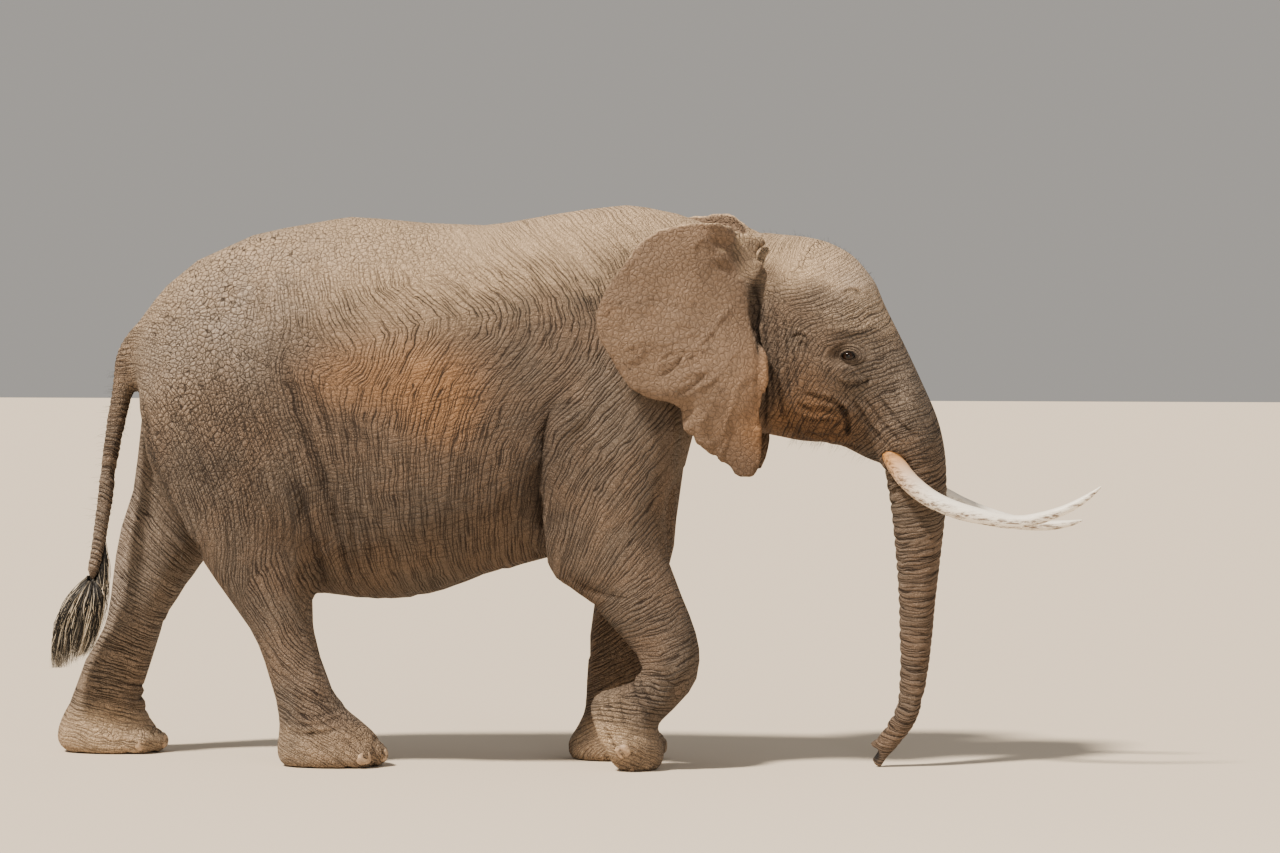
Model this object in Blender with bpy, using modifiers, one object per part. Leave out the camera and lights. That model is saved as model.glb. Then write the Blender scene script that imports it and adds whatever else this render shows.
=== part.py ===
"""Adult African savanna elephant cow, walking with its head low, as a life-size still model.

The body is modelled whole: lofts carried along the torso, the head with its trunk, each leg and
the tail are joined by a voxel remesh, smoothed and reduced. Thin plane cuts then part it into
the nodes a person would name. Ears, tusks, eyes and toenails are solids of their own that sit in
sockets. Units are metres. +X is forward, +Y is the animal's left, +Z is up, and the floor is z = 0.
"""
from math import cos, pi, radians, sin

import bmesh
import bpy
import numpy as np
from mathutils import Matrix, Vector
from mathutils.bvhtree import BVHTree

# ---------------------------------------------------------------- driving dimensions
FLOOR = 0.0                 # level of the soles: feet and trunk tip are modelled lower, then cut off
GAP = 0.0003                # clearance between pieces that touch
SOCKET_GAP = 0.0010         # growth of a piece that cuts its own socket

VOXEL = 0.018               # cell of the remesh that joins the lofts
BROAD_SMOOTHING = 26        # rounds of smoothing on torso, legs and the back of the head
FINE_SMOOTHING = 3          # rounds of smoothing everywhere
WEIGHT_LEVELS = 10          # steps in which a weight is given to the vertices
BODY_TRIANGLES = 3600       # what the whole body is reduced to before it is parted
RING_POINTS = 28            # points round each section of a loft
STEPS = 4                   # sections added between two stations
BALL_FACES = (20, 12)       # segments and rings of a swelling or a hollow
EYE_FACES = (10, 6)
NAIL_FACES = (6, 4)

EYE_RADIUS = 0.021
EYE_PLACE = (1.235, 1.832)  # x and z of an eye's middle
EYE_DEPTH = 0.011           # how deep an eye's middle lies under the brow's surface
EAR_THICKNESS = 0.024
EAR_GRID = (21, 5)          # rows down an ear and points across it

# A station of a loft: the two ends of the section in the side view, (x, z) and (x, z), then the
# side offset y of its middle, its half width, how much wider the first end is than the second,
# and the power of its outline (2 is an ellipse, more is squarer).
TORSO = (
    ((-2.035, 1.900), (-1.985, 1.600), 0.0, 0.080, 0.00, 2.0),
    ((-1.965, 2.040), (-1.955, 1.340), 0.0, 0.230, -0.10, 2.0),
    ((-1.830, 2.195), (-1.850, 1.120), 0.0, 0.360, -0.15, 2.1),
    ((-1.600, 2.330), (-1.620, 0.930), 0.0, 0.470, -0.20, 2.1),
    ((-1.300, 2.415), (-1.320, 0.780), 0.0, 0.555, -0.20, 2.1),
    ((-1.000, 2.450), (-1.000, 0.730), 0.0, 0.590, -0.20, 2.1),
    ((-0.700, 2.422), (-0.700, 0.745), 0.0, 0.595, -0.20, 2.1),
    ((-0.400, 2.415), (-0.400, 0.850), 0.0, 0.550, -0.20, 2.1),
    ((-0.100, 2.466), (-0.100, 0.925), 0.0, 0.490, -0.22, 2.1),
    ((0.150, 2.502), (0.150, 1.000), 0.0, 0.440, -0.25, 2.1),
    ((0.320, 2.504), (0.330, 1.130), 0.0, 0.380, -0.25, 2.1),
    ((0.460, 2.455), (0.450, 1.290), 0.0, 0.310, -0.20, 2.1),
    ((0.520, 2.380), (0.500, 1.480), 0.0, 0.230, -0.10, 2.0),
)
HEAD_AND_TRUNK = (
    ((0.250, 2.380), (0.250, 1.450), 0.0, 0.300, -0.15, 2.1),
    ((0.480, 2.450), (0.500, 1.480), 0.0, 0.305, -0.15, 2.1),
    ((0.700, 2.375), (0.720, 1.500), 0.0, 0.295, -0.15, 2.1),
    ((0.880, 2.370), (0.880, 1.470), 0.0, 0.325, -0.15, 2.2),
    ((1.020, 2.360), (0.990, 1.450), 0.0, 0.348, -0.15, 2.3),
    ((1.140, 2.325), (1.090, 1.445), 0.0, 0.342, -0.14, 2.3),
    ((1.230, 2.270), (1.180, 1.440), 0.0, 0.315, -0.10, 2.3),
    ((1.305, 2.175), (1.250, 1.415), 0.0, 0.282, -0.04, 2.3),
    ((1.370, 2.040), (1.310, 1.390), 0.0, 0.250, 0.00, 2.3),
    ((1.450, 1.880), (1.350, 1.375), 0.0, 0.228, 0.00, 2.3),
    ((1.530, 1.710), (1.378, 1.360), 0.0, 0.218, 0.00, 2.3),
    ((1.600, 1.550), (1.380, 1.330), 0.0, 0.210, 0.00, 2.3),
    ((1.635, 1.400), (1.375, 1.280), 0.0, 0.180, 0.00, 2.2),
    ((1.643, 1.250), (1.388, 1.220), 0.0, 0.150, 0.00, 2.2),
    ((1.636, 1.110), (1.402, 1.120), 0.0, 0.128, 0.00, 2.2),
    ((1.618, 0.950), (1.418, 0.960), 0.0, 0.110, 0.00, 2.2),
    ((1.596, 0.760), (1.432, 0.760), 0.0, 0.095, 0.00, 2.2),
    ((1.578, 0.560), (1.438, 0.560), 0.0, 0.082, 0.00, 2.2),
    ((1.556, 0.390), (1.438, 0.400), 0.0, 0.070, 0.00, 2.2),
    ((1.530, 0.260), (1.428, 0.290), 0.0, 0.061, 0.00, 2.2),
    ((1.486, 0.165), (1.392, 0.208), 0.0, 0.055, 0.00, 2.2),
    ((1.425, 0.090), (1.345, 0.148), 0.0, 0.050, 0.00, 2.2),
    ((1.368, 0.010), (1.292, 0.095), 0.0, 0.046, 0.00, 2.2),
    ((1.345, -0.030), (1.292, 0.020), 0.0, 0.034, 0.00, 2.2),
)
TAIL = (
    ((-1.900, 2.080), (-1.860, 1.900), 0.0, 0.070, 0.0, 2.0),
    ((-2.050, 1.960), (-1.970, 1.830), 0.0, 0.065, 0.0, 2.0),
    ((-2.118, 1.790), (-2.010, 1.720), 0.0, 0.058, 0.0, 2.0),
    ((-2.158, 1.590), (-2.062, 1.575), 0.0, 0.050, 0.0, 2.0),
    ((-2.184, 1.420), (-2.100, 1.415), 0.0, 0.043, 0.0, 2.0),
    ((-2.206, 1.240), (-2.136, 1.235), 0.0, 0.035, 0.0, 2.0),
    ((-2.226, 1.060), (-2.170, 1.055), 0.0, 0.028, 0.0, 2.0),
    ((-2.250, 0.880), (-2.203, 0.875), 0.0, 0.023, 0.0, 2.0),
    ((-2.275, 0.760), (-2.235, 0.750), 0.0, 0.019, 0.0, 2.0),
)
TAIL_TUFT = (
    ((-2.250, 0.860), (-2.205, 0.855), 0.0, 0.020, 0.0, 2.0),
    ((-2.330, 0.760), (-2.185, 0.790), 0.0, 0.045, 0.0, 2.0),
    ((-2.385, 0.660), (-2.180, 0.650), 0.0, 0.060, 0.0, 2.0),
    ((-2.395, 0.540), (-2.215, 0.540), 0.0, 0.058, 0.0, 2.0),
    ((-2.405, 0.440), (-2.290, 0.450), 0.0, 0.040, 0.0, 2.0),
    ((-2.410, 0.400), (-2.360, 0.402), 0.0, 0.015, 0.0, 2.0),
)
# Legs run down from inside the body. Their stations name the rear end first, then the front.
FORELEG_FOLDED = (
    ((-0.060, 2.050), (0.330, 2.150), -0.200, 0.170, 0.0, 2.1),
    ((-0.120, 1.700), (0.490, 1.760), -0.270, 0.215, 0.0, 2.1),
    ((-0.140, 1.420), (0.500, 1.460), -0.295, 0.205, 0.0, 2.1),
    ((-0.148, 1.180), (0.440, 1.190), -0.300, 0.190, 0.0, 2.1),
    ((-0.145, 1.000), (0.432, 1.010), -0.298, 0.180, 0.0, 2.1),
    ((-0.085, 0.855), (0.462, 0.890), -0.292, 0.172, 0.0, 2.1),
    ((0.050, 0.765), (0.505, 0.770), -0.286, 0.162, 0.0, 2.1),
    ((0.190, 0.630), (0.555, 0.640), -0.280, 0.148, 0.0, 2.1),
    ((0.300, 0.490), (0.582, 0.510), -0.275, 0.142, 0.0, 2.1),
    ((0.322, 0.430), (0.560, 0.385), -0.272, 0.142, 0.0, 2.1),
    ((0.290, 0.390), (0.470, 0.275), -0.270, 0.145, 0.0, 2.1),
    ((0.215, 0.368), (0.378, 0.185), -0.270, 0.158, 0.0, 2.1),
    ((0.120, 0.345), (0.415, 0.050), -0.270, 0.182, 0.0, 2.2),
    ((0.082, 0.305), (0.350, -0.025), -0.270, 0.186, 0.0, 2.2),
    ((0.090, 0.260), (0.225, -0.015), -0.270, 0.165, 0.0, 2.2),
)
FORELEG_STANDING = (
    ((-0.080, 2.050), (0.300, 2.150), 0.200, 0.170, 0.0, 2.1),
    ((-0.120, 1.700), (0.450, 1.760), 0.270, 0.215, 0.0, 2.1),
    ((-0.080, 1.420), (0.450, 1.440), 0.290, 0.205, 0.0, 2.1),
    ((0.020, 1.180), (0.415, 1.190), 0.280, 0.180, 0.0, 2.1),
    ((0.050, 1.000), (0.402, 1.000), 0.268, 0.165, 0.0, 2.1),
    ((0.038, 0.820), (0.365, 0.820), 0.260, 0.155, 0.0, 2.1),
    ((0.012, 0.650), (0.318, 0.650), 0.255, 0.147, 0.0, 2.1),
    ((0.004, 0.480), (0.298, 0.480), 0.250, 0.142, 0.0, 2.1),
    ((-0.012, 0.330), (0.284, 0.330), 0.250, 0.145, 0.0, 2.1),
    ((-0.012, 0.220), (0.282, 0.220), 0.250, 0.152, 0.0, 2.1),
    ((-0.060, 0.120), (0.318, 0.120), 0.250, 0.180, 0.0, 2.2),
    ((-0.085, 0.050), (0.344, 0.050), 0.250, 0.195, 0.0, 2.3),
    ((-0.078, -0.030), (0.338, -0.030), 0.250, 0.190, 0.0, 2.3),
)
HINDLEG_FORWARD = (
    ((-1.780, 2.020), (-1.250, 2.060), -0.160, 0.190, 0.0, 2.1),
    ((-1.960, 1.720), (-1.130, 1.800), -0.215, 0.250, 0.0, 2.1),
    ((-1.930, 1.450), (-1.110, 1.500), -0.265, 0.245, 0.0, 2.1),
    ((-1.865, 1.265), (-1.130, 1.290), -0.290, 0.228, 0.0, 2.1),
    ((-1.765, 1.070), (-1.160, 1.080), -0.300, 0.208, 0.0, 2.1),
    ((-1.650, 0.890), (-1.155, 0.900), -0.300, 0.185, 0.0, 2.1),
    ((-1.535, 0.725), (-1.168, 0.735), -0.295, 0.162, 0.0, 2.1),
    ((-1.420, 0.560), (-1.150, 0.570), -0.290, 0.140, 0.0, 2.1),
    ((-1.362, 0.390), (-1.092, 0.390), -0.285, 0.132, 0.0, 2.1),
    ((-1.326, 0.260), (-1.030, 0.270), -0.280, 0.140, 0.0, 2.1),
    ((-1.310, 0.150), (-0.905, 0.160), -0.280, 0.160, 0.0, 2.2),
    ((-1.314, 0.055), (-0.842, 0.055), -0.280, 0.176, 0.0, 2.3),
    ((-1.295, -0.030), (-0.850, -0.030), -0.280, 0.170, 0.0, 2.3),
)
HINDLEG_BACKWARD = (
    ((-1.800, 2.020), (-1.280, 2.060), 0.160, 0.190, 0.0, 2.1),
    ((-2.020, 1.720), (-1.220, 1.820), 0.215, 0.250, 0.0, 2.1),
    ((-2.080, 1.420), (-1.270, 1.520), 0.265, 0.240, 0.0, 2.1),
    ((-2.110, 1.210), (-1.400, 1.280), 0.290, 0.220, 0.0, 2.1),
    ((-2.172, 1.030), (-1.600, 1.060), 0.300, 0.200, 0.0, 2.1),
    ((-2.205, 0.850), (-1.790, 0.870), 0.300, 0.178, 0.0, 2.1),
    ((-2.222, 0.690), (-1.910, 0.700), 0.295, 0.158, 0.0, 2.1),
    ((-2.262, 0.540), (-1.992, 0.550), 0.290, 0.140, 0.0, 2.1),
    ((-2.345, 0.410), (-2.030, 0.410), 0.285, 0.132, 0.0, 2.1),
    ((-2.388, 0.270), (-2.075, 0.280), 0.280, 0.140, 0.0, 2.1),
    ((-2.448, 0.145), (-2.045, 0.150), 0.280, 0.160, 0.0, 2.2),
    ((-2.456, 0.055), (-1.972, 0.055), 0.280, 0.176, 0.0, 2.3),
    ((-2.420, -0.030), (-1.972, -0.030), 0.280, 0.170, 0.0, 2.3),
)
# Swellings of muscle and bone: middle, radii and turn about Y in degrees, one for each side.
SWELLINGS = (
    ("cheekbone", (1.080, 0.290, 1.800), (0.210, 0.075, 0.100), 12.0),
    ("brow", (1.205, 0.235, 1.950), (0.100, 0.062, 0.055), 35.0),
    ("tusk_sheath", (1.440, 0.140, 1.520), (0.105, 0.090, 0.220), 8.0),
)
HOLLOWS = (
    ("temple", (1.130, 0.350, 2.115), (0.150, 0.085, 0.095), 20.0),
)
LOWER_LIP = (
    ((1.020, 1.560), (1.020, 1.450), 0.0, 0.150, 0.0, 2.0),
    ((1.180, 1.540), (1.180, 1.430), 0.0, 0.120, 0.0, 2.0),
    ((1.300, 1.480), (1.290, 1.365), 0.0, 0.080, 0.0, 2.0),
    ((1.345, 1.430), (1.340, 1.355), 0.0, 0.050, 0.0, 2.0),
)

# Ear of one side: (x, y, z) down its front line and round its outer edge, y away from the midline.
EAR_FRONT = (
    (0.900, 0.310, 2.375), (0.862, 0.330, 2.240), (0.822, 0.335, 2.100), (0.826, 0.335, 2.010),
    (0.855, 0.345, 1.920), (0.884, 0.385, 1.820), (0.889, 0.405, 1.730), (0.876, 0.410, 1.640),
    (0.862, 0.410, 1.550), (0.868, 0.405, 1.450), (0.860, 0.400, 1.350), (0.826, 0.400, 1.290),
)
EAR_EDGE = (
    (0.900, 0.310, 2.375), (0.780, 0.400, 2.408), (0.605, 0.460, 2.415), (0.451, 0.500, 2.396),
    (0.345, 0.530, 2.330), (0.252, 0.575, 2.190), (0.170, 0.610, 2.060), (0.175, 0.615, 1.930),
    (0.240, 0.600, 1.800), (0.330, 0.570, 1.675), (0.430, 0.535, 1.648), (0.517, 0.510, 1.622),
    (0.530, 0.490, 1.520), (0.600, 0.460, 1.440), (0.690, 0.430, 1.370), (0.745, 0.415, 1.310),
    (0.826, 0.400, 1.290),
)
EAR_BULGE = 0.050           # how far the middle of the ear stands out
LEFT_EAR_SWING = (-0.060, 0.045)    # the left ear lies further back, with its upper rim raised
# Tusks: (x, y, z, radius) from inside the sheath to the tip, y away from the midline.
TUSKS = {
    "right": (
        (1.395, 0.150, 1.450, 0.040), (1.430, 0.172, 1.360, 0.045), (1.520, 0.205, 1.255, 0.045),
        (1.650, 0.235, 1.178, 0.040), (1.820, 0.255, 1.128, 0.036), (1.990, 0.262, 1.108, 0.030),
        (2.150, 0.255, 1.148, 0.024), (2.265, 0.245, 1.205, 0.016), (2.345, 0.238, 1.266, 0.004),
    ),
    "left": (
        (1.395, 0.150, 1.450, 0.040), (1.430, 0.172, 1.360, 0.045), (1.520, 0.205, 1.250, 0.045),
        (1.640, 0.235, 1.180, 0.040), (1.780, 0.255, 1.120, 0.036), (1.930, 0.262, 1.080, 0.031),
        (2.060, 0.258, 1.068, 0.025), (2.160, 0.252, 1.075, 0.017), (2.232, 0.248, 1.092, 0.005),
    ),
}
TUSK_SIDES = 8
SIDES = (("right", -1), ("left", 1))

# Cuts that part the body: a point of each plane, and the normal of its far side.
BELLY_CUT = 0.700           # all that hangs below is a leg or the trunk
LEG_CUTS = {                # the upper leg is what lies outside and below the cut
    "foreleg_right": (Vector((0.0, -0.120, 0.920)), Vector((0.0, -0.8, -0.6))),
    "foreleg_left": (Vector((0.0, 0.120, 0.920)), Vector((0.0, 0.8, -0.6))),
    "hindleg_right": (Vector((0.0, -0.120, 0.920)), Vector((0.0, -0.8, -0.6))),
    "hindleg_left": (Vector((-1.90, 0.120, 1.000)), Vector((-0.5, 0.7, -0.5)).normalized()),
}
TRUNK_CUTS = (
    (Vector((1.50, 0.0, 1.265)), Vector((0.20, 0.0, -0.98))),
    (Vector((1.52, 0.0, 0.98)), Vector((-0.03, 0.0, -1.0)).normalized()),
    (Vector((1.50, 0.0, 0.42)), Vector((-0.10, 0.0, -1.0)).normalized()),
    (Vector((1.41, 0.0, 0.16)), Vector((-0.68, 0.0, -0.73)).normalized()),
)
TAIL_CUT = (Vector((-2.17, 0.0, 1.30)), Vector((-0.15, 0.0, -1.0)).normalized())
TAIL_BOX = (0.400, 0.180, 1.500)    # sides of the box that takes the tail off the rump
TAIL_BOX_MIDDLE = (-2.312, 0.0, 1.330)
TAIL_BOX_TURN = 8.0
ANKLE_CUTS = {
    "foreleg_right": (Vector((0.40, 0.0, 0.365)), Vector((-0.42, 0.0, -0.91)).normalized()),
    "foreleg_left": (Vector((0.13, 0.0, 0.210)), Vector((0.0, 0.0, -1.0))),
    "hindleg_right": (Vector((-1.17, 0.0, 0.240)), Vector((0.20, 0.0, -1.0)).normalized()),
    "hindleg_left": (Vector((-2.24, 0.0, 0.230)), Vector((0.15, 0.0, -1.0)).normalized()),
}
# Feet: middle of the sole, the way the sole faces and the way the toes point.
FEET = {
    "foreleg_right": ((0.180, -0.270, 0.150), (-0.91, 0.0, -0.41), (0.41, 0.0, -0.91)),
    "foreleg_left": ((0.130, 0.250, 0.0), (0.0, 0.0, -1.0), (1.0, 0.0, 0.0)),
    "hindleg_right": ((-1.060, -0.280, 0.0), (0.0, 0.0, -1.0), (1.0, 0.0, 0.0)),
    "hindleg_left": ((-2.190, 0.280, 0.0), (0.0, 0.0, -1.0), (1.0, 0.0, 0.0)),
}
NAIL_ANGLES = {"foreleg": (-66, -24, 24, 66), "hindleg": (-42, 0, 42)}
NAIL_RADII = (0.020, 0.042, 0.040)
NAIL_HEIGHT = 0.050         # middle of a nail over the sole
NAIL_DEPTH = 0.004          # how deep a nail's middle lies under the skin
NAIL_LIFT = 0.001           # how far the nails stay off the floor

# Finishes: linear colour and roughness, by a word in the node's name.
FINISHES = {
    "eye": ((0.020, 0.011, 0.006), 0.08),
    "tusk": ((0.760, 0.620, 0.440), 0.35),
    "nail": ((0.330, 0.250, 0.180), 0.60),
    "tuft": ((0.018, 0.014, 0.012), 0.55),
    "ear": ((0.200, 0.130, 0.090), 0.80),
    "skin": ((0.230, 0.150, 0.100), 0.85),
}


# ---------------------------------------------------------------- tools for meshes
def clear_scene():
    """Remove every object the file starts with."""
    for item in list(bpy.data.objects):
        bpy.data.objects.remove(item, do_unlink=True)


def new_collection(name, hidden=False):
    """Make a collection of the scene. A hidden one holds cutters."""
    collection = bpy.data.collections.new(name)
    bpy.context.scene.collection.children.link(collection)
    collection.hide_render = hidden
    return collection


def new_object(name, bm, collection):
    """Put a bmesh into an object of that collection."""
    mesh = bpy.data.meshes.new(name)
    bmesh.ops.recalc_face_normals(bm, faces=bm.faces)
    bm.to_mesh(mesh)
    bm.free()
    item = bpy.data.objects.new(name, mesh)
    collection.objects.link(item)
    return item


def settle(item):
    """Apply an object's modifiers to its mesh."""
    graph = bpy.context.evaluated_depsgraph_get()
    graph.update()
    mesh = bpy.data.meshes.new_from_object(item.evaluated_get(graph))
    old = item.data
    item.modifiers.clear()
    item.data = mesh
    mesh.name = item.name
    bpy.data.meshes.remove(old)
    return item


def read_vertices(item):
    """All the vertices of an object's mesh as an array of n rows."""
    values = np.empty(len(item.data.vertices) * 3)
    item.data.vertices.foreach_get("co", values)
    return values.reshape(-1, 3)


def spline(stations, steps):
    """Catmull-Rom curve through rows of numbers, with that many steps from row to row."""
    rows = np.array(stations, dtype=float)
    padded = np.vstack([2 * rows[0] - rows[1], rows, 2 * rows[-1] - rows[-2]])
    u = np.linspace(0.0, 1.0, steps, endpoint=False)[:, None]
    out = []
    for index in range(len(rows) - 1):
        p0, p1, p2, p3 = padded[index:index + 4]
        out.append(0.5 * (2 * p1 + (p2 - p0) * u + (2 * p0 - 5 * p1 + 4 * p2 - p3) * u ** 2
                          + (3 * p1 - p0 - 3 * p2 + p3) * u ** 3))
    return np.vstack(out + [rows[-1:]])


def signed_power(value, power):
    """Raise the size of a number to a power and keep its sign."""
    return np.sign(value) * np.abs(value) ** power


def loft_rings(stations, steps=STEPS, count=RING_POINTS):
    """Sections of a loft as an array: section, point, xyz."""
    flat = [(a[0], a[1], b[0], b[1], y, width, taper, power)
            for a, b, y, width, taper, power in stations]
    rows = spline(flat, steps)
    turn = np.linspace(0.0, 2 * pi, count, endpoint=False)
    power = 2.0 / rows[:, 7:8]
    along = signed_power(np.cos(turn)[None, :], power)
    across = signed_power(np.sin(turn)[None, :], power)
    middle = (rows[:, 0:2] + rows[:, 2:4]) / 2
    half = (rows[:, 0:2] - rows[:, 2:4]) / 2
    rings = np.empty((len(rows), count, 3))
    rings[:, :, 0] = middle[:, 0:1] + half[:, 0:1] * along
    rings[:, :, 2] = middle[:, 1:2] + half[:, 1:2] * along
    rings[:, :, 1] = rows[:, 4:5] + rows[:, 5:6] * across * (1 + rows[:, 6:7] * along)
    return rings


def add_rings(bm, rings):
    """Skin a row of closed sections with quads and close both ends with a fan."""
    count = rings.shape[1]
    loops = [[bm.verts.new(point) for point in ring] for ring in rings]
    for first, second in zip(loops, loops[1:]):
        for k in range(count):
            bm.faces.new((first[k], first[(k + 1) % count], second[(k + 1) % count], second[k]))
    for loop, ring in ((loops[0], rings[0]), (loops[-1], rings[-1])):
        tip = bm.verts.new(ring.mean(axis=0))
        for k in range(count):
            bm.faces.new((loop[k], loop[(k + 1) % count], tip))


def loft(name, stations, collection, steps=STEPS, count=RING_POINTS):
    """A closed solid lofted through stations."""
    bm = bmesh.new()
    add_rings(bm, loft_rings(stations, steps, count))
    return new_object(name, bm, collection)


def ellipsoid(name, middle, radii, turn, collection, faces=BALL_FACES):
    """A stretched sphere, turned about the Y axis by that many degrees."""
    bm = bmesh.new()
    place = Matrix.Translation(middle) @ Matrix.Rotation(radians(turn), 4, "Y")
    place = place @ Matrix.Diagonal((*radii, 1.0))
    bmesh.ops.create_uvsphere(bm, u_segments=faces[0], v_segments=faces[1], radius=1.0,
                              matrix=place)
    return new_object(name, bm, collection)


def boolean(item, cutter, operation):
    """Join, cut or intersect an object with a cutter."""
    modifier = item.modifiers.new(operation.lower(), "BOOLEAN")
    modifier.operation = operation
    modifier.solver = "EXACT"
    modifier.object = cutter
    return settle(item)


def grown_copy(item, distance, collection):
    """A copy with every vertex moved outwards, to cut the socket of a piece."""
    copy = bpy.data.objects.new(item.name + "_cutter", item.data.copy())
    collection.objects.link(copy)
    copy.display_type = "WIRE"
    copy.hide_render = True
    bm = bmesh.new()
    bm.from_mesh(copy.data)
    bm.normal_update()
    for vertex in bm.verts:
        vertex.co += vertex.normal * distance
    bm.to_mesh(copy.data)
    bm.free()
    return copy


# ---------------------------------------------------------------- materials
def material(name, colour, roughness):
    """A plain Principled finish."""
    finish = bpy.data.materials.new(name)
    finish.use_nodes = True
    shader = finish.node_tree.nodes["Principled BSDF"]
    shader.inputs["Base Color"].default_value = (*colour, 1.0)
    shader.inputs["Roughness"].default_value = roughness
    shader.inputs["Metallic"].default_value = 0.0
    finish.diffuse_color = (*colour, 1.0)
    return finish


# ---------------------------------------------------------------- the whole body
def smooth_step(value, low, high):
    """Rise from 0 at low to 1 at high without corners."""
    t = np.clip((value - low) / (high - low), 0.0, 1.0)
    return t * t * (3 - 2 * t)


def body_whole(shop):
    """Join the lofts, round their junctions and reduce the result to one closed surface."""
    bm = bmesh.new()
    for stations in (TORSO, HEAD_AND_TRUNK, TAIL, FORELEG_FOLDED, FORELEG_STANDING,
                     HINDLEG_FORWARD, HINDLEG_BACKWARD, LOWER_LIP):
        add_rings(bm, loft_rings(stations))
    body = new_object("body", bm, shop)
    extra = []
    for name, middle, radii, turn in SWELLINGS:
        for side in (-1, 1):
            place = (middle[0], side * middle[1], middle[2])
            extra.append(ellipsoid(name, place, radii, turn, shop))
    bm = bmesh.new()
    bm.from_mesh(body.data)
    for item in extra:
        bm.from_mesh(item.data)
        bpy.data.objects.remove(item)
    bm.to_mesh(body.data)
    bm.free()
    remesh(body, VOXEL)
    for name, middle, radii, turn in HOLLOWS:
        for side in (-1, 1):
            place = (middle[0], side * middle[1], middle[2])
            cutter = ellipsoid(name, place, radii, turn, shop)
            boolean(body, cutter, "DIFFERENCE")
            bpy.data.objects.remove(cutter)
    remesh(body, VOXEL)
    round_junctions(body)
    reduce_faces(body)
    return body


def weigh(item, name, weight):
    """Give an object a vertex group with that weight, in steps."""
    group = item.vertex_groups.new(name=name)
    steps = np.round(weight * WEIGHT_LEVELS).astype(int)
    for step in range(1, WEIGHT_LEVELS + 1):
        group.add(np.nonzero(steps == step)[0].tolist(), step / WEIGHT_LEVELS, "REPLACE")


def remesh(item, size):
    """Rebuild a surface on a grid of cells of that size."""
    modifier = item.modifiers.new("remesh", "REMESH")
    modifier.mode = "VOXEL"
    modifier.voxel_size = size
    settle(item)


def round_junctions(body):
    """Smooth the body, most where legs and head leave it and least on trunk, tail and feet."""
    place = read_vertices(body)
    x, y, z = place.T
    fine = np.maximum(smooth_step(x, 1.30, 1.45), 1 - smooth_step(z, 0.10, 0.45))
    fine = np.maximum(fine, smooth_step(-x, 2.02, 2.07))
    weigh(body, "broad", 1.0 - fine)
    weigh(body, "fine", np.full(len(x), 1.0))
    for name, repeats in (("broad", BROAD_SMOOTHING), ("fine", FINE_SMOOTHING)):
        modifier = body.modifiers.new(name, "SMOOTH")
        modifier.vertex_group = name
        modifier.factor = 0.5
        modifier.iterations = repeats
    settle(body)
    body.vertex_groups.clear()


def reduce_faces(body):
    """Collapse edges down to the body's triangle budget, with more left on head and trunk."""
    place = read_vertices(body)
    x, _, z = place.T
    keep = np.maximum(0.40 * smooth_step(x, 0.75, 0.95), 0.8 * smooth_step(x, 1.25, 1.45))
    keep = np.maximum(keep, 0.4 * (1 - smooth_step(z, 0.60, 0.90)))
    keep = np.maximum(keep, 0.9 * smooth_step(-x, 1.95, 2.07) * smooth_step(z, 0.60, 0.70))
    weigh(body, "reduce", 1.0 - keep)
    modifier = body.modifiers.new("reduce", "DECIMATE")
    modifier.ratio = BODY_TRIANGLES / (2 * len(body.data.polygons))
    modifier.vertex_group = "reduce"
    modifier.vertex_group_factor = 1.0
    settle(body)
    body.vertex_groups.clear()


# ---------------------------------------------------------------- parting the body
def plane(first, second, forward=True):
    """Point and normal of a plane square to the side view, through two of its points (x, z)."""
    along = Vector((second[0] - first[0], 0.0, second[1] - first[1])).normalized()
    normal = Vector((-along.z, 0.0, along.x))
    if (normal.x > 0) != forward:
        normal = -normal
    return Vector((first[0], 0.0, first[1])), normal


def half_of(item, name, point, normal, collection):
    """The closed part of an object that lies beyond a plane."""
    bm = bmesh.new()
    bm.from_mesh(item.data)
    everything = bm.verts[:] + bm.edges[:] + bm.faces[:]
    cut = bmesh.ops.bisect_plane(bm, geom=everything, dist=1e-6, plane_co=point,
                                 plane_no=normal, clear_inner=True)
    rim = [piece for piece in cut["geom_cut"] if isinstance(piece, bmesh.types.BMEdge)]
    bmesh.ops.triangle_fill(bm, use_beauty=True, edges=rim, normal=normal)
    bmesh.ops.triangulate(bm, faces=bm.faces)
    return new_object(name, bm, collection)


def part_in_two(item, names, where, collection):
    """Cut an object with a plane that is GAP wide. The second name is the side beyond it."""
    point, normal = where
    shift = normal * (GAP / 2)
    first = half_of(item, names[0], point - shift, -normal, collection)
    second = half_of(item, names[1], point + shift, normal, collection)
    bpy.data.objects.remove(item)
    first.name, second.name = names
    return first, second


def islands(bm):
    """The sets of vertex indices that hang together."""
    seen = set()
    found = []
    for start in bm.verts:
        if start.index in seen:
            continue
        island = [start]
        seen.add(start.index)
        for vertex in island:
            for edge in vertex.link_edges:
                other = edge.other_vert(vertex)
                if other.index not in seen:
                    seen.add(other.index)
                    island.append(other)
        found.append({vertex.index for vertex in island})
    return found


def keep_largest(item):
    """Drop the chips that a cut can leave beside an object's one body."""
    bm = bmesh.new()
    bm.from_mesh(item.data)
    body = max(islands(bm), key=len)
    chips = [vertex for vertex in bm.verts if vertex.index not in body]
    bmesh.ops.delete(bm, geom=chips, context="VERTS")
    bm.to_mesh(item.data)
    bm.free()


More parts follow.
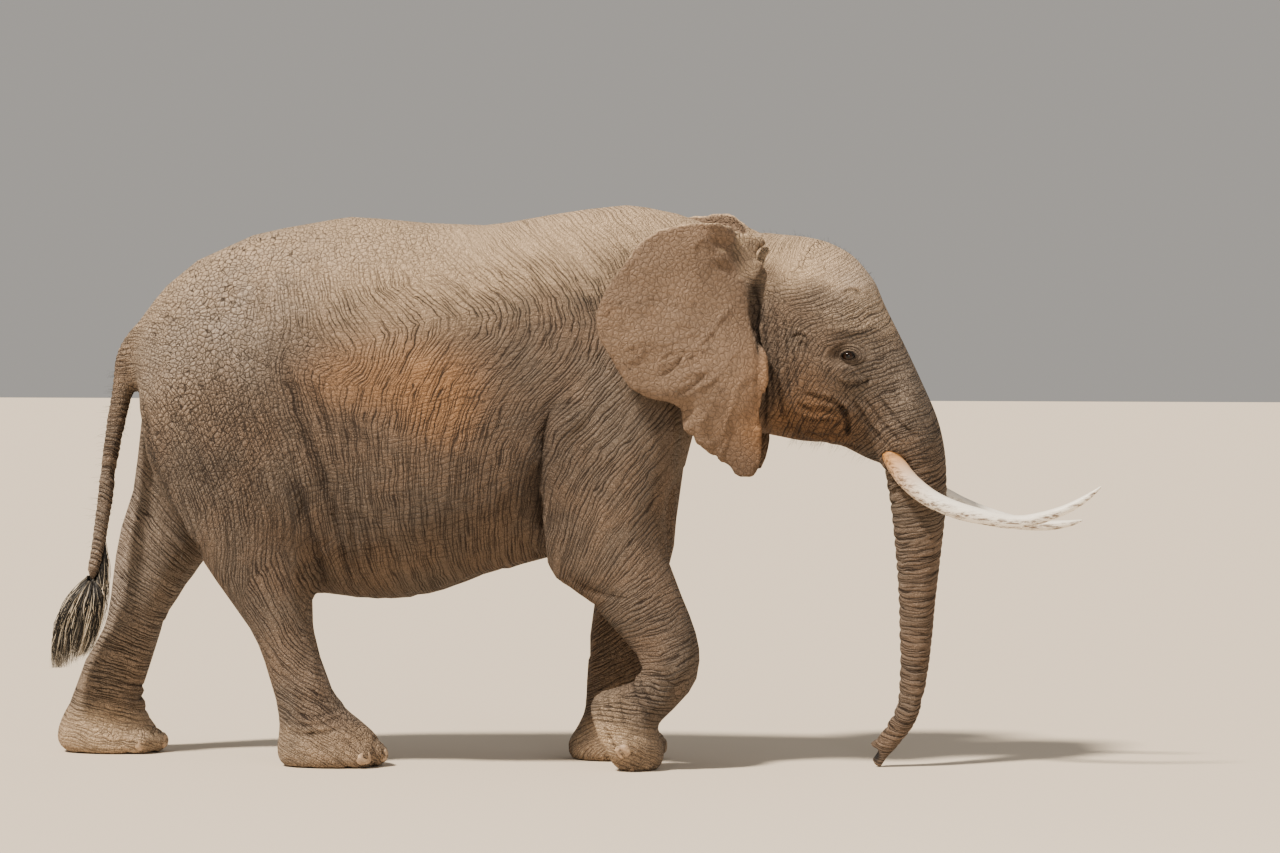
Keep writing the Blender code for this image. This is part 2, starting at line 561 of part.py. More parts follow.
def part_loose(item, collection, namer):
    """Split an object into its separate bodies. namer gives each a name from its middle."""
    bm = bmesh.new()
    bm.from_mesh(item.data)
    found = islands(bm)
    bm.free()
    pieces = []
    for island in found:
        bm = bmesh.new()
        bm.from_mesh(item.data)
        bm.verts.ensure_lookup_table()
        rest = [vertex for vertex in bm.verts if vertex.index not in island]
        bmesh.ops.delete(bm, geom=rest, context="VERTS")
        middle = sum((vertex.co for vertex in bm.verts), Vector()) / len(bm.verts)
        pieces.append(new_object(namer(middle), bm, collection))
    bpy.data.objects.remove(item)
    return pieces


def name_of_lower_piece(middle):
    """Name what hangs below the belly by where it stands."""
    if middle.x > 1.0:
        return "trunk_low"
    side = "right" if middle.y < 0 else "left"
    return ("foreleg_" if middle.x > -0.6 else "hindleg_") + side + "_lower"


def take_out_tail(rump, parts, shop):
    """Part the tail from the rump with a box. Growing each corner by the cube's diagonal moves
    the box's sides by GAP."""
    bm = bmesh.new()
    place = Matrix.Translation(TAIL_BOX_MIDDLE) @ Matrix.Rotation(radians(TAIL_BOX_TURN), 4, "Y")
    bmesh.ops.create_cube(bm, size=1.0, matrix=place @ Matrix.Diagonal((*TAIL_BOX, 1.0)))
    box = new_object("tail_box", bm, shop)
    tail = bpy.data.objects.new("tail", rump.data.copy())
    parts.objects.link(tail)
    boolean(tail, box, "INTERSECT")
    boolean(rump, grown_copy(box, GAP * 3 ** 0.5, shop), "DIFFERENCE")
    return rump, tail


def part_body(body, parts, shop):
    """Cut the body into its named nodes and return them by name."""
    nodes = {}
    upper, lower = part_in_two(body, ("upper", "lower"), (Vector((0, 0, BELLY_CUT)),
                                                          Vector((0, 0, -1))), parts)
    for piece in part_loose(lower, parts, name_of_lower_piece):
        nodes[piece.name] = piece

    hind, front = part_in_two(upper, ("rump", "front"), plane((-1.22, 2.40), (-1.12, 0.90)), parts)
    barrel, front = part_in_two(front, ("barrel", "front"), plane((-0.22, 2.5), (-0.22, 0.7)),
                                parts)
    shoulders, front = part_in_two(front, ("shoulders", "front"), plane((0.30, 2.55), (0.75, 1.20)),
                                   parts)
    neck, front = part_in_two(front, ("neck", "front"), plane((0.62, 2.50), (0.83, 1.40)), parts)
    head, trunk = part_in_two(front, ("head", "trunk_upper"), TRUNK_CUTS[0], parts)
    hind, tail = take_out_tail(hind, parts, shop)
    nodes["tail_upper"], tail = part_in_two(tail, ("tail_upper", "tail"), TAIL_CUT, parts)
    point, normal = plane(TAIL_TUFT[0][0], TAIL_TUFT[0][1], forward=True)
    nodes["tail_lower"] = half_of(tail, "tail_lower", point + normal * GAP, normal, parts)
    bpy.data.objects.remove(tail)
    for leg, where in LEG_CUTS.items():
        name = leg + "_upper"
        if leg.startswith("hind"):
            hind, nodes[name] = part_in_two(hind, ("rump", name), where, parts)
        else:
            shoulders, nodes[name] = part_in_two(shoulders, ("shoulders", name), where, parts)
    for piece in (hind, barrel, shoulders, neck, head):
        nodes[piece.name] = piece
    trunk, nodes["trunk_middle"] = part_in_two(trunk, ("trunk_upper", "trunk_middle"),
                                               TRUNK_CUTS[1], parts)
    nodes["trunk_upper"] = trunk
    low = nodes.pop("trunk_low")
    nodes["trunk_lower"], low = part_in_two(low, ("trunk_lower", "trunk_end"), TRUNK_CUTS[2], parts)
    nodes["trunk_end"], nodes["trunk_tip"] = part_in_two(low, ("trunk_end", "trunk_tip"),
                                                         TRUNK_CUTS[3], parts)
    for leg, where in ANKLE_CUTS.items():
        shank, foot = part_in_two(nodes[leg + "_lower"], (leg + "_lower", leg + "_foot"), where,
                                  parts)
        nodes[leg + "_lower"] = shank
        nodes[leg + "_foot"] = foot
    for name, piece in nodes.items():
        piece.name = name
    return nodes


# ---------------------------------------------------------------- ears, tusks, eyes and nails
def ear(name, sign, parts):
    """A thin sheet between the ear's front line and its outer edge, given its thickness."""
    front = spline(EAR_FRONT, 4)
    edge = spline(EAR_EDGE, 4)
    rows, columns = EAR_GRID
    t = np.linspace(0.0, 1.0, rows)
    front = np.stack([np.interp(t, np.linspace(0, 1, len(front)), front[:, k]) for k in range(3)], 1)
    edge = np.stack([np.interp(t, np.linspace(0, 1, len(edge)), edge[:, k]) for k in range(3)], 1)
    s = np.linspace(0.0, 1.0, columns)[None, :, None]
    sheet = front[:, None, :] * (1 - s) + edge[:, None, :] * s
    sheet[:, :, 1] += EAR_BULGE * np.sin(pi * s[:, :, 0]) * np.sin(pi * t)[:, None]
    sheet[:, :, 1] *= sign
    if sign > 0:
        height = (sheet[:, :, 2] - EAR_EDGE[-1][2]) / (EAR_EDGE[0][2] - EAR_EDGE[-1][2])
        sheet[:, :, 0] += LEFT_EAR_SWING[0]
        sheet[:, :, 2] += LEFT_EAR_SWING[1] * height
    bm = bmesh.new()
    grid = [[bm.verts.new(point) for point in row] for row in sheet]
    for upper, lower in zip(grid, grid[1:]):
        for k in range(columns - 1):
            bm.faces.new((upper[k], upper[k + 1], lower[k + 1], lower[k]))
    bmesh.ops.remove_doubles(bm, verts=bm.verts, dist=0.0001)
    item = new_object(name, bm, parts)
    shell = item.modifiers.new("thickness", "SOLIDIFY")
    shell.thickness = EAR_THICKNESS
    shell.offset = 0.0
    return settle(item)


def tusk(name, path, sign, parts):
    """A round tapering tusk along a curve."""
    points = spline([(x, sign * y, z, radius) for x, y, z, radius in path], 2)
    along = np.gradient(points[:, :3], axis=0)
    along /= np.linalg.norm(along, axis=1)[:, None]
    across = np.cross(along, (0.0, 1.0, 0.0))
    across /= np.linalg.norm(across, axis=1)[:, None]
    other = np.cross(along, across)
    turn = np.linspace(0.0, 2 * pi, TUSK_SIDES, endpoint=False)[None, :, None]
    rings = points[:, None, :3] + points[:, None, 3:] * (across[:, None] * np.cos(turn)
                                                         + other[:, None] * np.sin(turn))
    bm = bmesh.new()
    add_rings(bm, rings)
    return new_object(name, bm, parts)


def surface_point(item, start, direction):
    """Where a ray from inside an object leaves its surface."""
    tree = BVHTree.FromObject(item, bpy.context.evaluated_depsgraph_get())
    return tree.ray_cast(start, direction)[0]


def toenails(foot, leg, parts):
    """Nails round the front of a foot, each a flattened ellipsoid set into the skin."""
    middle, sole, toes = FEET[leg]
    middle = Vector(middle)
    sole = Vector(sole).normalized()
    toes = Vector(toes).normalized()
    side = sole.cross(toes)
    nails = []
    for number, degrees in enumerate(NAIL_ANGLES[leg.split("_")[0]], start=1):
        angle = radians(degrees)
        outward = toes * cos(angle) + side * sin(angle)
        place = surface_point(foot, middle - sole * NAIL_HEIGHT, outward) - outward * NAIL_DEPTH
        axes = Matrix((outward, sole.cross(outward), sole)).transposed().to_4x4()
        size = Matrix.Diagonal((*NAIL_RADII, 1.0))
        bm = bmesh.new()
        bmesh.ops.create_uvsphere(bm, u_segments=NAIL_FACES[0], v_segments=NAIL_FACES[1],
                                  radius=1.0, matrix=Matrix.Translation(place) @ axes @ size)
        whole = new_object("nail", bm, parts)
        name = leg + "_nail_" + str(number)
        nails.append(half_of(whole, name, Vector((0, 0, NAIL_LIFT)), Vector((0, 0, 1)), parts))
        bpy.data.objects.remove(whole)
    return nails


def cut_sockets(nodes, pieces, cutters):
    """Cut the socket of each piece out of the nodes it touches."""
    for piece in pieces:
        cutter = grown_copy(piece, SOCKET_GAP, cutters)
        low = np.array(piece.bound_box).min(axis=0)
        high = np.array(piece.bound_box).max(axis=0)
        for node in nodes:
            box = np.array(node.bound_box)
            if (box.min(axis=0) < high).all() and (box.max(axis=0) > low).all():
                boolean(node, cutter, "DIFFERENCE")
                keep_largest(node)


def dress(node):
    """Give a node a finish of its own, in the colour of what it is made of."""
    kind = next((kind for kind in FINISHES if kind in node.name), "skin")
    node.data.materials.clear()
    node.data.materials.append(material(node.name + "_finish", *FINISHES[kind]))


def centre_on_floor(nodes):
    """Move the whole elephant so that the middle of its box stands over the origin."""
    corners = np.vstack([read_vertices(node) for node in nodes])
    middle = (corners.min(axis=0) + corners.max(axis=0)) / 2
    shift = Matrix.Translation((-middle[0], -middle[1], -FLOOR))
    for node in nodes:
        node.data.transform(shift)
        node.data.update()


def main():
    """Build every node of the elephant."""
    clear_scene()
    parts = new_collection("elephant")
    shop = new_collection("cutters", hidden=True)
    body = body_whole(shop)
    grown = grown_copy(body, SOCKET_GAP, shop)
    standing = half_of(body, "standing", Vector((0, 0, FLOOR)), Vector((0, 0, 1)), parts)
    bpy.data.objects.remove(body)
    nodes = part_body(standing, parts, shop)

    for side, sign in SIDES:
        flap = ear("ear_" + side, sign, parts)
        boolean(flap, grown, "DIFFERENCE")
        tooth = tusk("tusk_" + side, TUSKS[side], sign, parts)
        surface = surface_point(nodes["head"], Vector((EYE_PLACE[0], 0.0, EYE_PLACE[1])),
                                Vector((0.0, sign, 0.0)))
        place = surface - Vector((0.0, sign * EYE_DEPTH, 0.0))
        eye = ellipsoid("eye_" + side, place, (EYE_RADIUS,) * 3, 0.0, parts, EYE_FACES)
        cut_sockets((nodes["head"], nodes["trunk_upper"]), (tooth, eye), shop)
        nodes.update({item.name: item for item in (flap, tooth, eye)})
    for leg in FEET:
        foot = nodes[leg + "_foot"]
        nails = toenails(foot, leg, parts)
        cut_sockets((foot,), nails, shop)
        nodes.update({nail.name: nail for nail in nails})
    nodes["tail_tuft"] = loft("tail_tuft", TAIL_TUFT, parts, 2, 10)
    for node in nodes.values():
        dress(node)
    centre_on_floor(list(nodes.values()))


main()
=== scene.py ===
"""Looks of a life-size still model: an adult African savanna elephant cow, walking head low.

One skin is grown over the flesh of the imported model. It is joined, smoothed, sculpted and folded
as numpy arrays, and its wrinkles follow a field of lines worked out over the whole animal. Eyes,
lashes, tusks, nails, the tail's tuft and the bristles are pieces of their own. Plan coordinates
are those of the frame less one shift along X. +X is forward, +Y is the animal's left, +Z is up.
"""

import logging
from collections.abc import Callable
from dataclasses import dataclass, field
from enum import Enum

import bmesh
import bpy
import numpy as np
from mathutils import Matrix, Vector


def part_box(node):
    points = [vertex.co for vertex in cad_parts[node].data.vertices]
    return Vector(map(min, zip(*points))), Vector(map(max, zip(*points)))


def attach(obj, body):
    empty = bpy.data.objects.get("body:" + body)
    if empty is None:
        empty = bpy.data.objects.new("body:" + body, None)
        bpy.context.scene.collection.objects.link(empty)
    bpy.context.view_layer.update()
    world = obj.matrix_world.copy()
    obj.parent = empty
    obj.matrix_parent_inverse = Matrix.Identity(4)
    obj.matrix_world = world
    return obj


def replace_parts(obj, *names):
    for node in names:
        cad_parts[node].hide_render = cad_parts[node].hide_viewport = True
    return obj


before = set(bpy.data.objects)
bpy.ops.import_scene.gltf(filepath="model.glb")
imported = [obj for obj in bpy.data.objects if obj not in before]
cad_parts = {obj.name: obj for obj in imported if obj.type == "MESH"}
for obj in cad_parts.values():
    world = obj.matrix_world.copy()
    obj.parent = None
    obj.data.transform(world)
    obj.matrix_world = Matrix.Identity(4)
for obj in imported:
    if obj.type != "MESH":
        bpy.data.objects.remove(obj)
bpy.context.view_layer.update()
LOG = logging.getLogger("elephant")

Array = np.ndarray
Material, Mesh, Piece = bpy.types.Material, bpy.types.Mesh, bpy.types.Object
BODY = "root"
PLAN_EYE_X = 1.235          # x of the eyes' middle in plan coordinates
SHIFT = np.mean(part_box("eye_right"), axis=0)[0] - PLAN_EYE_X    # from plan to frame, along X
EYE_RADIUS = 0.0290         # of the ball
EYE_SINK = 0.0120           # how far the ball's middle lies behind the frame's
EYE_OPENING = (0.0300, 0.0205, 0.0160)  # half its width, and its height over and under the middle
NAIL_ANGLES = {"foreleg": (-66, -24, 24, 66), "hindleg": (-42, 0, 42)}
FOOT_WAYS = {"foreleg_right": ((0.91, 0.0, 0.41), (0.41, 0.0, -0.91))}  # up and toes, if not level
LID_FOLDS = ((1.52, 0.11, 0.0045), (1.98, 0.14, 0.0050), (2.60, 0.20, 0.0045))
TAIL_PATH = ((-2.162, 1.330, 0.037), (-2.172, 1.200, 0.037), (-2.192, 1.070, 0.034),
             (-2.210, 0.950, 0.032), (-2.230, 0.850, 0.030), (-2.243, 0.772, 0.024))  # x, z, radius
TUFT_UV = 0.003             # width of a strand's patch on the map
RIGHT = -1.0                # sign of Y on the animal's right, the side that the camera sees
LEFT = 1.0


class Side(Enum):
    """The animal's two sides, by the word in the nodes' names."""

    RIGHT = "right"
    LEFT = "left"

    @property
    def sign(self) -> float:
        """Sign of Y on this side."""
        return RIGHT if self is Side.RIGHT else LEFT


# ---------------------------------------------------------------- small tools
def linear(code: str) -> tuple[float, float, float, float]:
    """Turn an sRGB hex colour into linear values with alpha.

    Args:
        code: Six hex digits, with or without a leading sign.

    Returns:
        Red, green, blue and alpha, linear.
    """
    digits = code.lstrip("#")
    shares = [int(digits[k:k + 2], 16) / 255 for k in (0, 2, 4)]
    values = [s / 12.92 if s <= 0.04045 else ((s + 0.055) / 1.055) ** 2.4 for s in shares]
    return (values[0], values[1], values[2], 1.0)


def step(value: Array, low: float, high: float) -> Array:
    """Rise smoothly from 0 at low to 1 at high: 3 t squared less 2 t cubed."""
    t = np.clip((value - low) / (high - low), 0.0, 1.0)
    return t * t * (3 - 2 * t)


def bell(value: Array, width: float) -> Array:
    """A bell curve, 1 at zero: e to the minus square of value over width."""
    return np.exp(-(value / width) ** 2)


def patch(points: Array, middle: tuple[float, float], radii: tuple[float, float],
          turn: float = 0.0) -> Array:
    """A soft elliptical patch in the side view: a bell of the distance in ellipse radii.

    Args:
        points: Plan coordinates, n rows.
        middle: x and z of its middle.
        radii: Its radii along and across.
        turn: Degrees that it is turned, anticlockwise as seen from the right side.

    Returns:
        Weights from 0 to 1.
    """
    c, s = np.cos(np.radians(turn)), np.sin(np.radians(turn))
    x = points[:, 0] - middle[0]
    z = points[:, 2] - middle[1]
    return np.exp(-((x * c + z * s) / radii[0]) ** 2 - ((z * c - x * s) / radii[1]) ** 2)


def hashed(x: Array, y: Array, z: Array, seed: int) -> Array:
    """A steady random number for each lattice corner, by mixing its integers.

    Args:
        x: The corners' first numbers, whole.
        y: Their second numbers.
        z: Their third numbers.
        seed: Which set of numbers.

    Returns:
        Numbers from 0 to 1.
    """
    n = (x.astype(np.int64) * 374761393 + y.astype(np.int64) * 668265263
         + z.astype(np.int64) * 2147483647 + seed * 1274126177) & 0xFFFFFFFF
    n = ((n ^ (n >> 13)) * 1274126177) & 0xFFFFFFFF
    n = ((n ^ (n >> 15)) * 2246822519) & 0xFFFFFFFF
    return ((n ^ (n >> 16)) & 0xFFFFFF) / 16777215.0


def noise(points: Array, seed: int = 0) -> Array:
    """Smooth value noise: corner numbers of a unit lattice, blended by quintics.

    Args:
        points: Places in lattice units, n rows.
        seed: Which noise.

    Returns:
        Numbers from 0 to 1.
    """
    base = np.floor(points)
    t = points - base
    t = t * t * t * (t * (t * 6 - 15) + 10)
    total = np.zeros(len(points))
    for dx in (0, 1):
        wx = t[:, 0] if dx else 1 - t[:, 0]
        for dy in (0, 1):
            wy = wx * (t[:, 1] if dy else 1 - t[:, 1])
            for dz in (0, 1):
                corner = hashed(base[:, 0] + dx, base[:, 1] + dy, base[:, 2] + dz, seed)
                total += wy * (t[:, 2] if dz else 1 - t[:, 2]) * corner
    return total


def spline(rows: Array, count: int) -> Array:
    """Catmull-Rom curve through rows of numbers, at count even steps of its parameter.

    Args:
        rows: Points, one to a row.
        count: How many points to give back.

    Returns:
        Points on the curve, the first and last row included.
    """
    rows = np.asarray(rows, dtype=float)
    padded = np.vstack([2 * rows[0] - rows[1], rows, 2 * rows[-1] - rows[-2]])
    t = np.linspace(0, len(rows) - 1, count)
    k = np.minimum(t.astype(int), len(rows) - 2)
    u = (t - k)[:, None]
    p0, p1, p2, p3 = padded[k], padded[k + 1], padded[k + 2], padded[k + 3]
    return 0.5 * (2 * p1 + (p2 - p0) * u + (2 * p0 - 5 * p1 + 4 * p2 - p3) * u ** 2
                  + (3 * p1 - p0 - 3 * p2 + p3) * u ** 3)


def to_line(points: Array, line: Array) -> tuple[Array, Array, Array]:
    """Where points lie beside a line of segments.

    Args:
        points: n points of 2 or 3 numbers.
        line: The line's points.

    Returns:
        Distance to the line, share of the way along it, and in two dimensions which side
        (positive to the left of its direction), else zeros.
    """
    best = np.full(len(points), np.inf)
    along = np.zeros(len(points))
    side = np.zeros(len(points))
    lengths = np.linalg.norm(np.diff(line, axis=0), axis=1)
    total = lengths.sum()
    done = 0.0
    for start, end, length in zip(line[:-1], line[1:], lengths):
        way = (end - start) / max(length, 1e-9)
        offset = points - start
        t = np.clip(offset @ way, 0.0, length)
        gap = np.linalg.norm(offset - t[:, None] * way, axis=1)
        nearer = gap < best
        best = np.where(nearer, gap, best)
        along = np.where(nearer, (done + t) / total, along)
        if points.shape[1] == 2:
            turn = way[0] * offset[:, 1] - way[1] * offset[:, 0]
            side = np.where(nearer, np.sign(turn), side)
        done += length
    return best, along, side


def new_object(name: str, points: Array, faces: list | Array) -> Piece:
    """Put points and faces into an object of the scene, smooth shaded.

    Args:
        name: The object's name.
        points: Its vertices.
        faces: Its faces, each the numbers of its vertices.

    Returns:
        The object.
    """
    mesh = bpy.data.meshes.new(name)
    mesh.from_pydata(np.asarray(points).tolist(), [],
                     faces.tolist() if isinstance(faces, np.ndarray) else faces)
    mesh.update()
    mesh.shade_smooth()
    item = bpy.data.objects.new(name, mesh)
    bpy.context.scene.collection.objects.link(item)
    return item


def read_points(mesh: Mesh) -> Array:
    """Read a mesh's vertices.

    Args:
        mesh: The mesh.

    Returns:
        n rows of x, y and z.
    """
    values = np.empty(len(mesh.vertices) * 3)
    mesh.vertices.foreach_get("co", values)
    return values.reshape(-1, 3)


def read_normals(mesh: Mesh) -> Array:
    """Read a mesh's vertex normals.

    Args:
        mesh: The mesh.

    Returns:
        n rows of unit vectors.
    """
    values = np.empty(len(mesh.vertices) * 3)
    mesh.vertex_normals.foreach_get("vector", values)
    return values.reshape(-1, 3)


def write_points(mesh: Mesh, points: Array) -> None:
    """Move a mesh's vertices."""
    mesh.vertices.foreach_set("co", np.ascontiguousarray(points, dtype=np.float32).ravel())
    mesh.update()


def write_attribute(mesh: Mesh, name: str, values: Array) -> None:
    """Store a vector for each vertex under a name that a material can read."""
    layer = mesh.attributes.new(name, "FLOAT_VECTOR", "POINT")
    layer.data.foreach_set("vector", np.ascontiguousarray(values, dtype=np.float32).ravel())


def settle(item: Piece) -> Piece:
    """Apply an object's modifiers to its mesh.

    Args:
        item: The object.

    Returns:
        The same object.
    """
    graph = bpy.context.evaluated_depsgraph_get()
    graph.update()
    mesh = bpy.data.meshes.new_from_object(item.evaluated_get(graph))
    old = item.data
    item.modifiers.clear()
    item.data = mesh
    mesh.name = item.name
    bpy.data.meshes.remove(old)
    return item


def grid_faces(rows: int, columns: int, wrap: bool = False, start: int = 0) -> Array:
    """Quads of a grid of vertices numbered row by row.

    Args:
        rows: Rows of vertices.
        columns: Vertices in a row.
        wrap: Whether the last column joins the first.
        start: The first vertex's number.

    Returns:
        Four vertex numbers for each quad.
    """
    index = np.arange(rows * columns).reshape(rows, columns) + start
    right = np.roll(index, -1, axis=1)
    a, b = index[:-1], right[:-1]
    c, d = right[1:], index[1:]
    if not wrap:
        a, b, c, d = a[:, :-1], b[:, :-1], c[:, :-1], d[:, :-1]
    return np.stack([a, b, c, d], axis=-1).reshape(-1, 4)


def close_poles(mesh: Mesh) -> None:
    """Merge a mesh's doubled points and turn its faces outwards.

    Args:
        mesh: The mesh.
    """
    bm = bmesh.new()
    bm.from_mesh(mesh)
    bmesh.ops.remove_doubles(bm, verts=bm.verts, dist=0.00003)
    bmesh.ops.recalc_face_normals(bm, faces=bm.faces)
    bm.to_mesh(mesh)
    bm.free()
    mesh.shade_smooth()


def box_middle(name: str) -> Array:
    """The middle of a node's box."""
    return np.mean(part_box(name), axis=0)


# ---------------------------------------------------------------- the lie of the skin
@dataclass
class LieField:
    """Lines that the wrinkles follow, as the level lines of one smooth height over the side view.

    Each control point is x, z and the line's slope in degrees. The slopes are blended by inverse
    distance, and the height is the one whose gradient fits the lines' normals best: conjugate
    gradients on a grid, with weight only near the control points. Each further round takes the
    last height's own normals, which evens the lines' spacing.
    """

    points: tuple[tuple[float, float, float], ...]
    low: tuple[float, float] = (-2.60, -0.10)
    high: tuple[float, float] = (2.00, 2.70)
    cell: float = 0.03              # metres, as the lengths below
    reach: float = 0.16             # of a control point's slope
    weight_reach: float = 0.20      # of its weight
    rounds: int = 4
    most_steps: int = 300
    close_enough: float = 1e-10
    weight: Array = field(init=False, repr=False)
    height: Array = field(init=False, repr=False)

    def __post_init__(self) -> None:
        """Solve the height on the grid."""
        x = np.arange(self.low[0], self.high[0] + self.cell, self.cell)
        z = np.arange(self.low[1], self.high[1] + self.cell, self.cell)
        gx, gz = np.meshgrid(x, z, indexing="ij")
        normal = np.zeros((2, *gx.shape))
        near = np.full(gx.shape, np.inf)
        for px, pz, slope in self.points:
            away = (gx - px) ** 2 + (gz - pz) ** 2
            near = np.minimum(near, away)
            share = 1 / ((away / self.reach ** 2) ** 2 + 0.05)
            turn = np.radians(slope - 90)
            normal += share * np.array([np.cos(turn), np.sin(turn)])[:, None, None]
        normal /= np.linalg.norm(normal, axis=0) + 1e-9
        self.weight = 0.02 + np.exp(-near / self.weight_reach ** 2)
        self.height = np.zeros(gx.shape)
        for _ in range(self.rounds):
            self.solve(normal)
            normal = np.stack(np.gradient(self.height, self.cell))
            normal /= np.linalg.norm(normal, axis=0) + 1e-3

    def solve(self, normal: Array) -> None:
        """Find the height whose gradient is nearest to the normals, by conjugate gradients.

        Args:
            normal: X and z of the wanted gradient at each grid point.
        """
        weight = self.weight
        wx = (weight[1:] + weight[:-1]) / 2
        wz = (weight[:, 1:] + weight[:, :-1]) / 2
        tx = (normal[0][1:] + normal[0][:-1]) / 2 * self.cell
        tz = (normal[1][:, 1:] + normal[1][:, :-1]) / 2 * self.cell

        def fold_back(fx: Array, fz: Array) -> Array:
            """Add up the flows along a grid's edges.

            Args:
                fx: Flow along each edge in x.
                fz: Flow along each edge in z.

            Returns:
                The sum at each grid point.
            """
            out = np.zeros(self.height.shape)
            out[1:] += fx
            out[:-1] -= fx
            out[:, 1:] += fz
            out[:, :-1] -= fz
            return out

        def apply(f: Array) -> Array:
            """The weighted Laplacian of a height."""
            return fold_back(wx * np.diff(f, axis=0), wz * np.diff(f, axis=1))

        rest = fold_back(wx * tx, wz * tz) - apply(self.height)
        way = rest.copy()
        size = (rest * rest).sum()
        for _ in range(self.most_steps):
            moved = apply(way)
            share = size / (way * moved).sum()
            self.height += share * way
            rest -= share * moved
            old, size = size, (rest * rest).sum()
            way = rest + size / old * way
            if size < self.close_enough:
                break

    def at(self, x: Array, z: Array) -> Array:
        """The height at points of the side view, blended between grid points.

        Args:
            x: The points' x.
            z: The points' z.

        Returns:
            Metres across the lines.
        """
        i = np.clip((x - self.low[0]) / self.cell, 0, self.height.shape[0] - 1.001)
        k = np.clip((z - self.low[1]) / self.cell, 0, self.height.shape[1] - 1.001)
        i0, k0 = i.astype(int), k.astype(int)
        a, b = i - i0, k - k0
        h = self.height
        return (h[i0, k0] * (1 - a) * (1 - b) + h[i0 + 1, k0] * a * (1 - b)
                + h[i0, k0 + 1] * (1 - a) * b + h[i0 + 1, k0 + 1] * a * b)


# Each control point of the lines: its x and z in metres, and the line's slope in degrees.
BODY_LINES = (
    (-1.75, 2.15, 150), (-1.95, 1.85, 150), (-1.20, 2.40, 100), (-0.70, 2.40, 105),
    (-0.28, 2.40, 120), (0.00, 2.42, 125), (0.30, 2.40, 120), (0.00, 2.22, 110), (0.20, 2.15, 100),
    (-0.30, 2.20, 116), (-0.50, 2.10, 112), (-0.20, 2.05, 96), (0.10, 2.05, 90),
    (-0.20, 1.92, 80), (0.10, 1.90, 68), (-0.50, 1.85, 76),
    (-0.20, 1.70, 60), (0.00, 1.70, 52), (0.20, 1.70, 45), (0.40, 1.75, 40), (-0.40, 1.50, 68),
    (-0.20, 1.45, 70), (-0.08, 1.40, 75), (-0.10, 1.15, 85), (-0.40, 1.20, 80), (-0.70, 1.20, 88),
    (-0.70, 0.90, 88), (-0.30, 0.95, 75), (0.10, 1.50, 28), (0.30, 1.50, 22), (0.45, 1.50, 20),
    (0.10, 1.30, 22), (0.35, 1.30, 15), (0.30, 1.10, 10), (0.00, 1.05, 60), (-1.30, 2.00, 92),
    (-1.35, 1.75, 105), (-1.25, 1.50, 118), (-1.15, 1.30, 118), (-1.05, 1.10, 112),
    (-1.00, 0.90, 98), (-1.00, 1.50, 125), (-0.85, 1.20, 105), (-0.95, 0.95, 95),
    (-1.00, 2.05, 110), (-0.80, 1.95, 110), (-0.75, 1.70, 95), (-1.50, 1.70, 125),
    (-1.70, 1.60, 140), (-1.80, 1.45, 150), (-1.50, 1.45, 150), (-1.40, 1.35, 158),
    (-1.25, 1.25, 150), (-1.60, 1.20, 160), (-1.40, 1.10, 168), (-1.30, 0.90, 180),
    (0.60, 2.30, 95), (0.60, 1.70, 60), (0.70, 1.50, 60), (0.95, 1.85, 90), (1.00, 1.65, 85),
    (1.20, 2.10, 50), (1.40, 1.80, 30), (1.45, 1.60, 15), (1.25, 1.60, 50), (1.50, 1.40, 10),
    (1.50, 1.25, 5), (1.51, 1.10, 2), (1.51, 0.90, 0), (1.50, 0.75, -2), (1.50, 0.60, -3),
    (1.50, 0.48, -6), (1.49, 0.38, -10), (1.46, 0.28, -20), (1.42, 0.18, -32), (1.36, 0.08, -35),
    (1.30, 0.00, -35), (-2.05, 1.75, 168), (-2.12, 1.50, 172), (-2.17, 1.20, 172),
    (-2.22, 0.90, 172),
)
RIGHT_LEG_LINES = (
    (0.30, 0.85, 15), (0.42, 0.65, 26), (0.45, 0.50, 0), (0.36, 0.36, -39), (0.25, 0.22, -60),
    (0.35, 0.10, -66), (-1.35, 0.70, 190), (-1.25, 0.50, 192), (-1.20, 0.30, 188),
    (-1.10, 0.10, 182),
)
LEFT_LEG_LINES = (
    (0.20, 0.90, 0), (0.17, 0.60, 0), (0.15, 0.30, 0), (0.15, 0.10, 0), (-1.75, 1.30, 153),
    (-2.00, 0.90, 153), (-2.15, 0.60, 160), (-2.20, 0.40, 174), (-2.20, 0.10, 180),
)
CROSS_LINES = (
    (-1.75, 2.15, 60), (-1.95, 1.85, 60), (-1.70, 1.60, 50), (-1.50, 1.45, 62), (-1.30, 1.25, 72),
    (-1.60, 1.10, 68), (-1.35, 0.70, 85), (-1.25, 0.40, 90), (-1.30, 2.00, 5), (-1.20, 2.20, -30),
    (-1.00, 2.20, -5), (-0.75, 2.10, -25), (-0.70, 1.90, 30), (-0.95, 1.65, 5), (-0.75, 1.60, 28),
    (-1.10, 1.70, -20), (-0.50, 1.60, 32), (-0.20, 1.80, 35), (0.05, 1.85, 38), (0.30, 1.90, 30),
    (-0.30, 1.40, 20), (-0.70, 1.30, 8), (-0.70, 0.90, 0), (-0.30, 1.00, 15), (-1.00, 1.20, 20),
    (0.10, 1.40, -70), (0.30, 1.50, -70), (0.40, 1.20, -75), (0.00, 1.10, -60), (0.15, 0.90, -75),
    (0.40, 0.60, -80), (0.20, 0.30, -90), (-0.30, 2.30, 20), (0.20, 2.35, 20), (0.60, 2.30, 0),
    (0.60, 1.70, -20), (0.95, 1.80, 0), (1.20, 2.10, -40), (1.40, 1.70, -60), (1.50, 1.00, -90),
    (1.50, 0.50, -90),
)


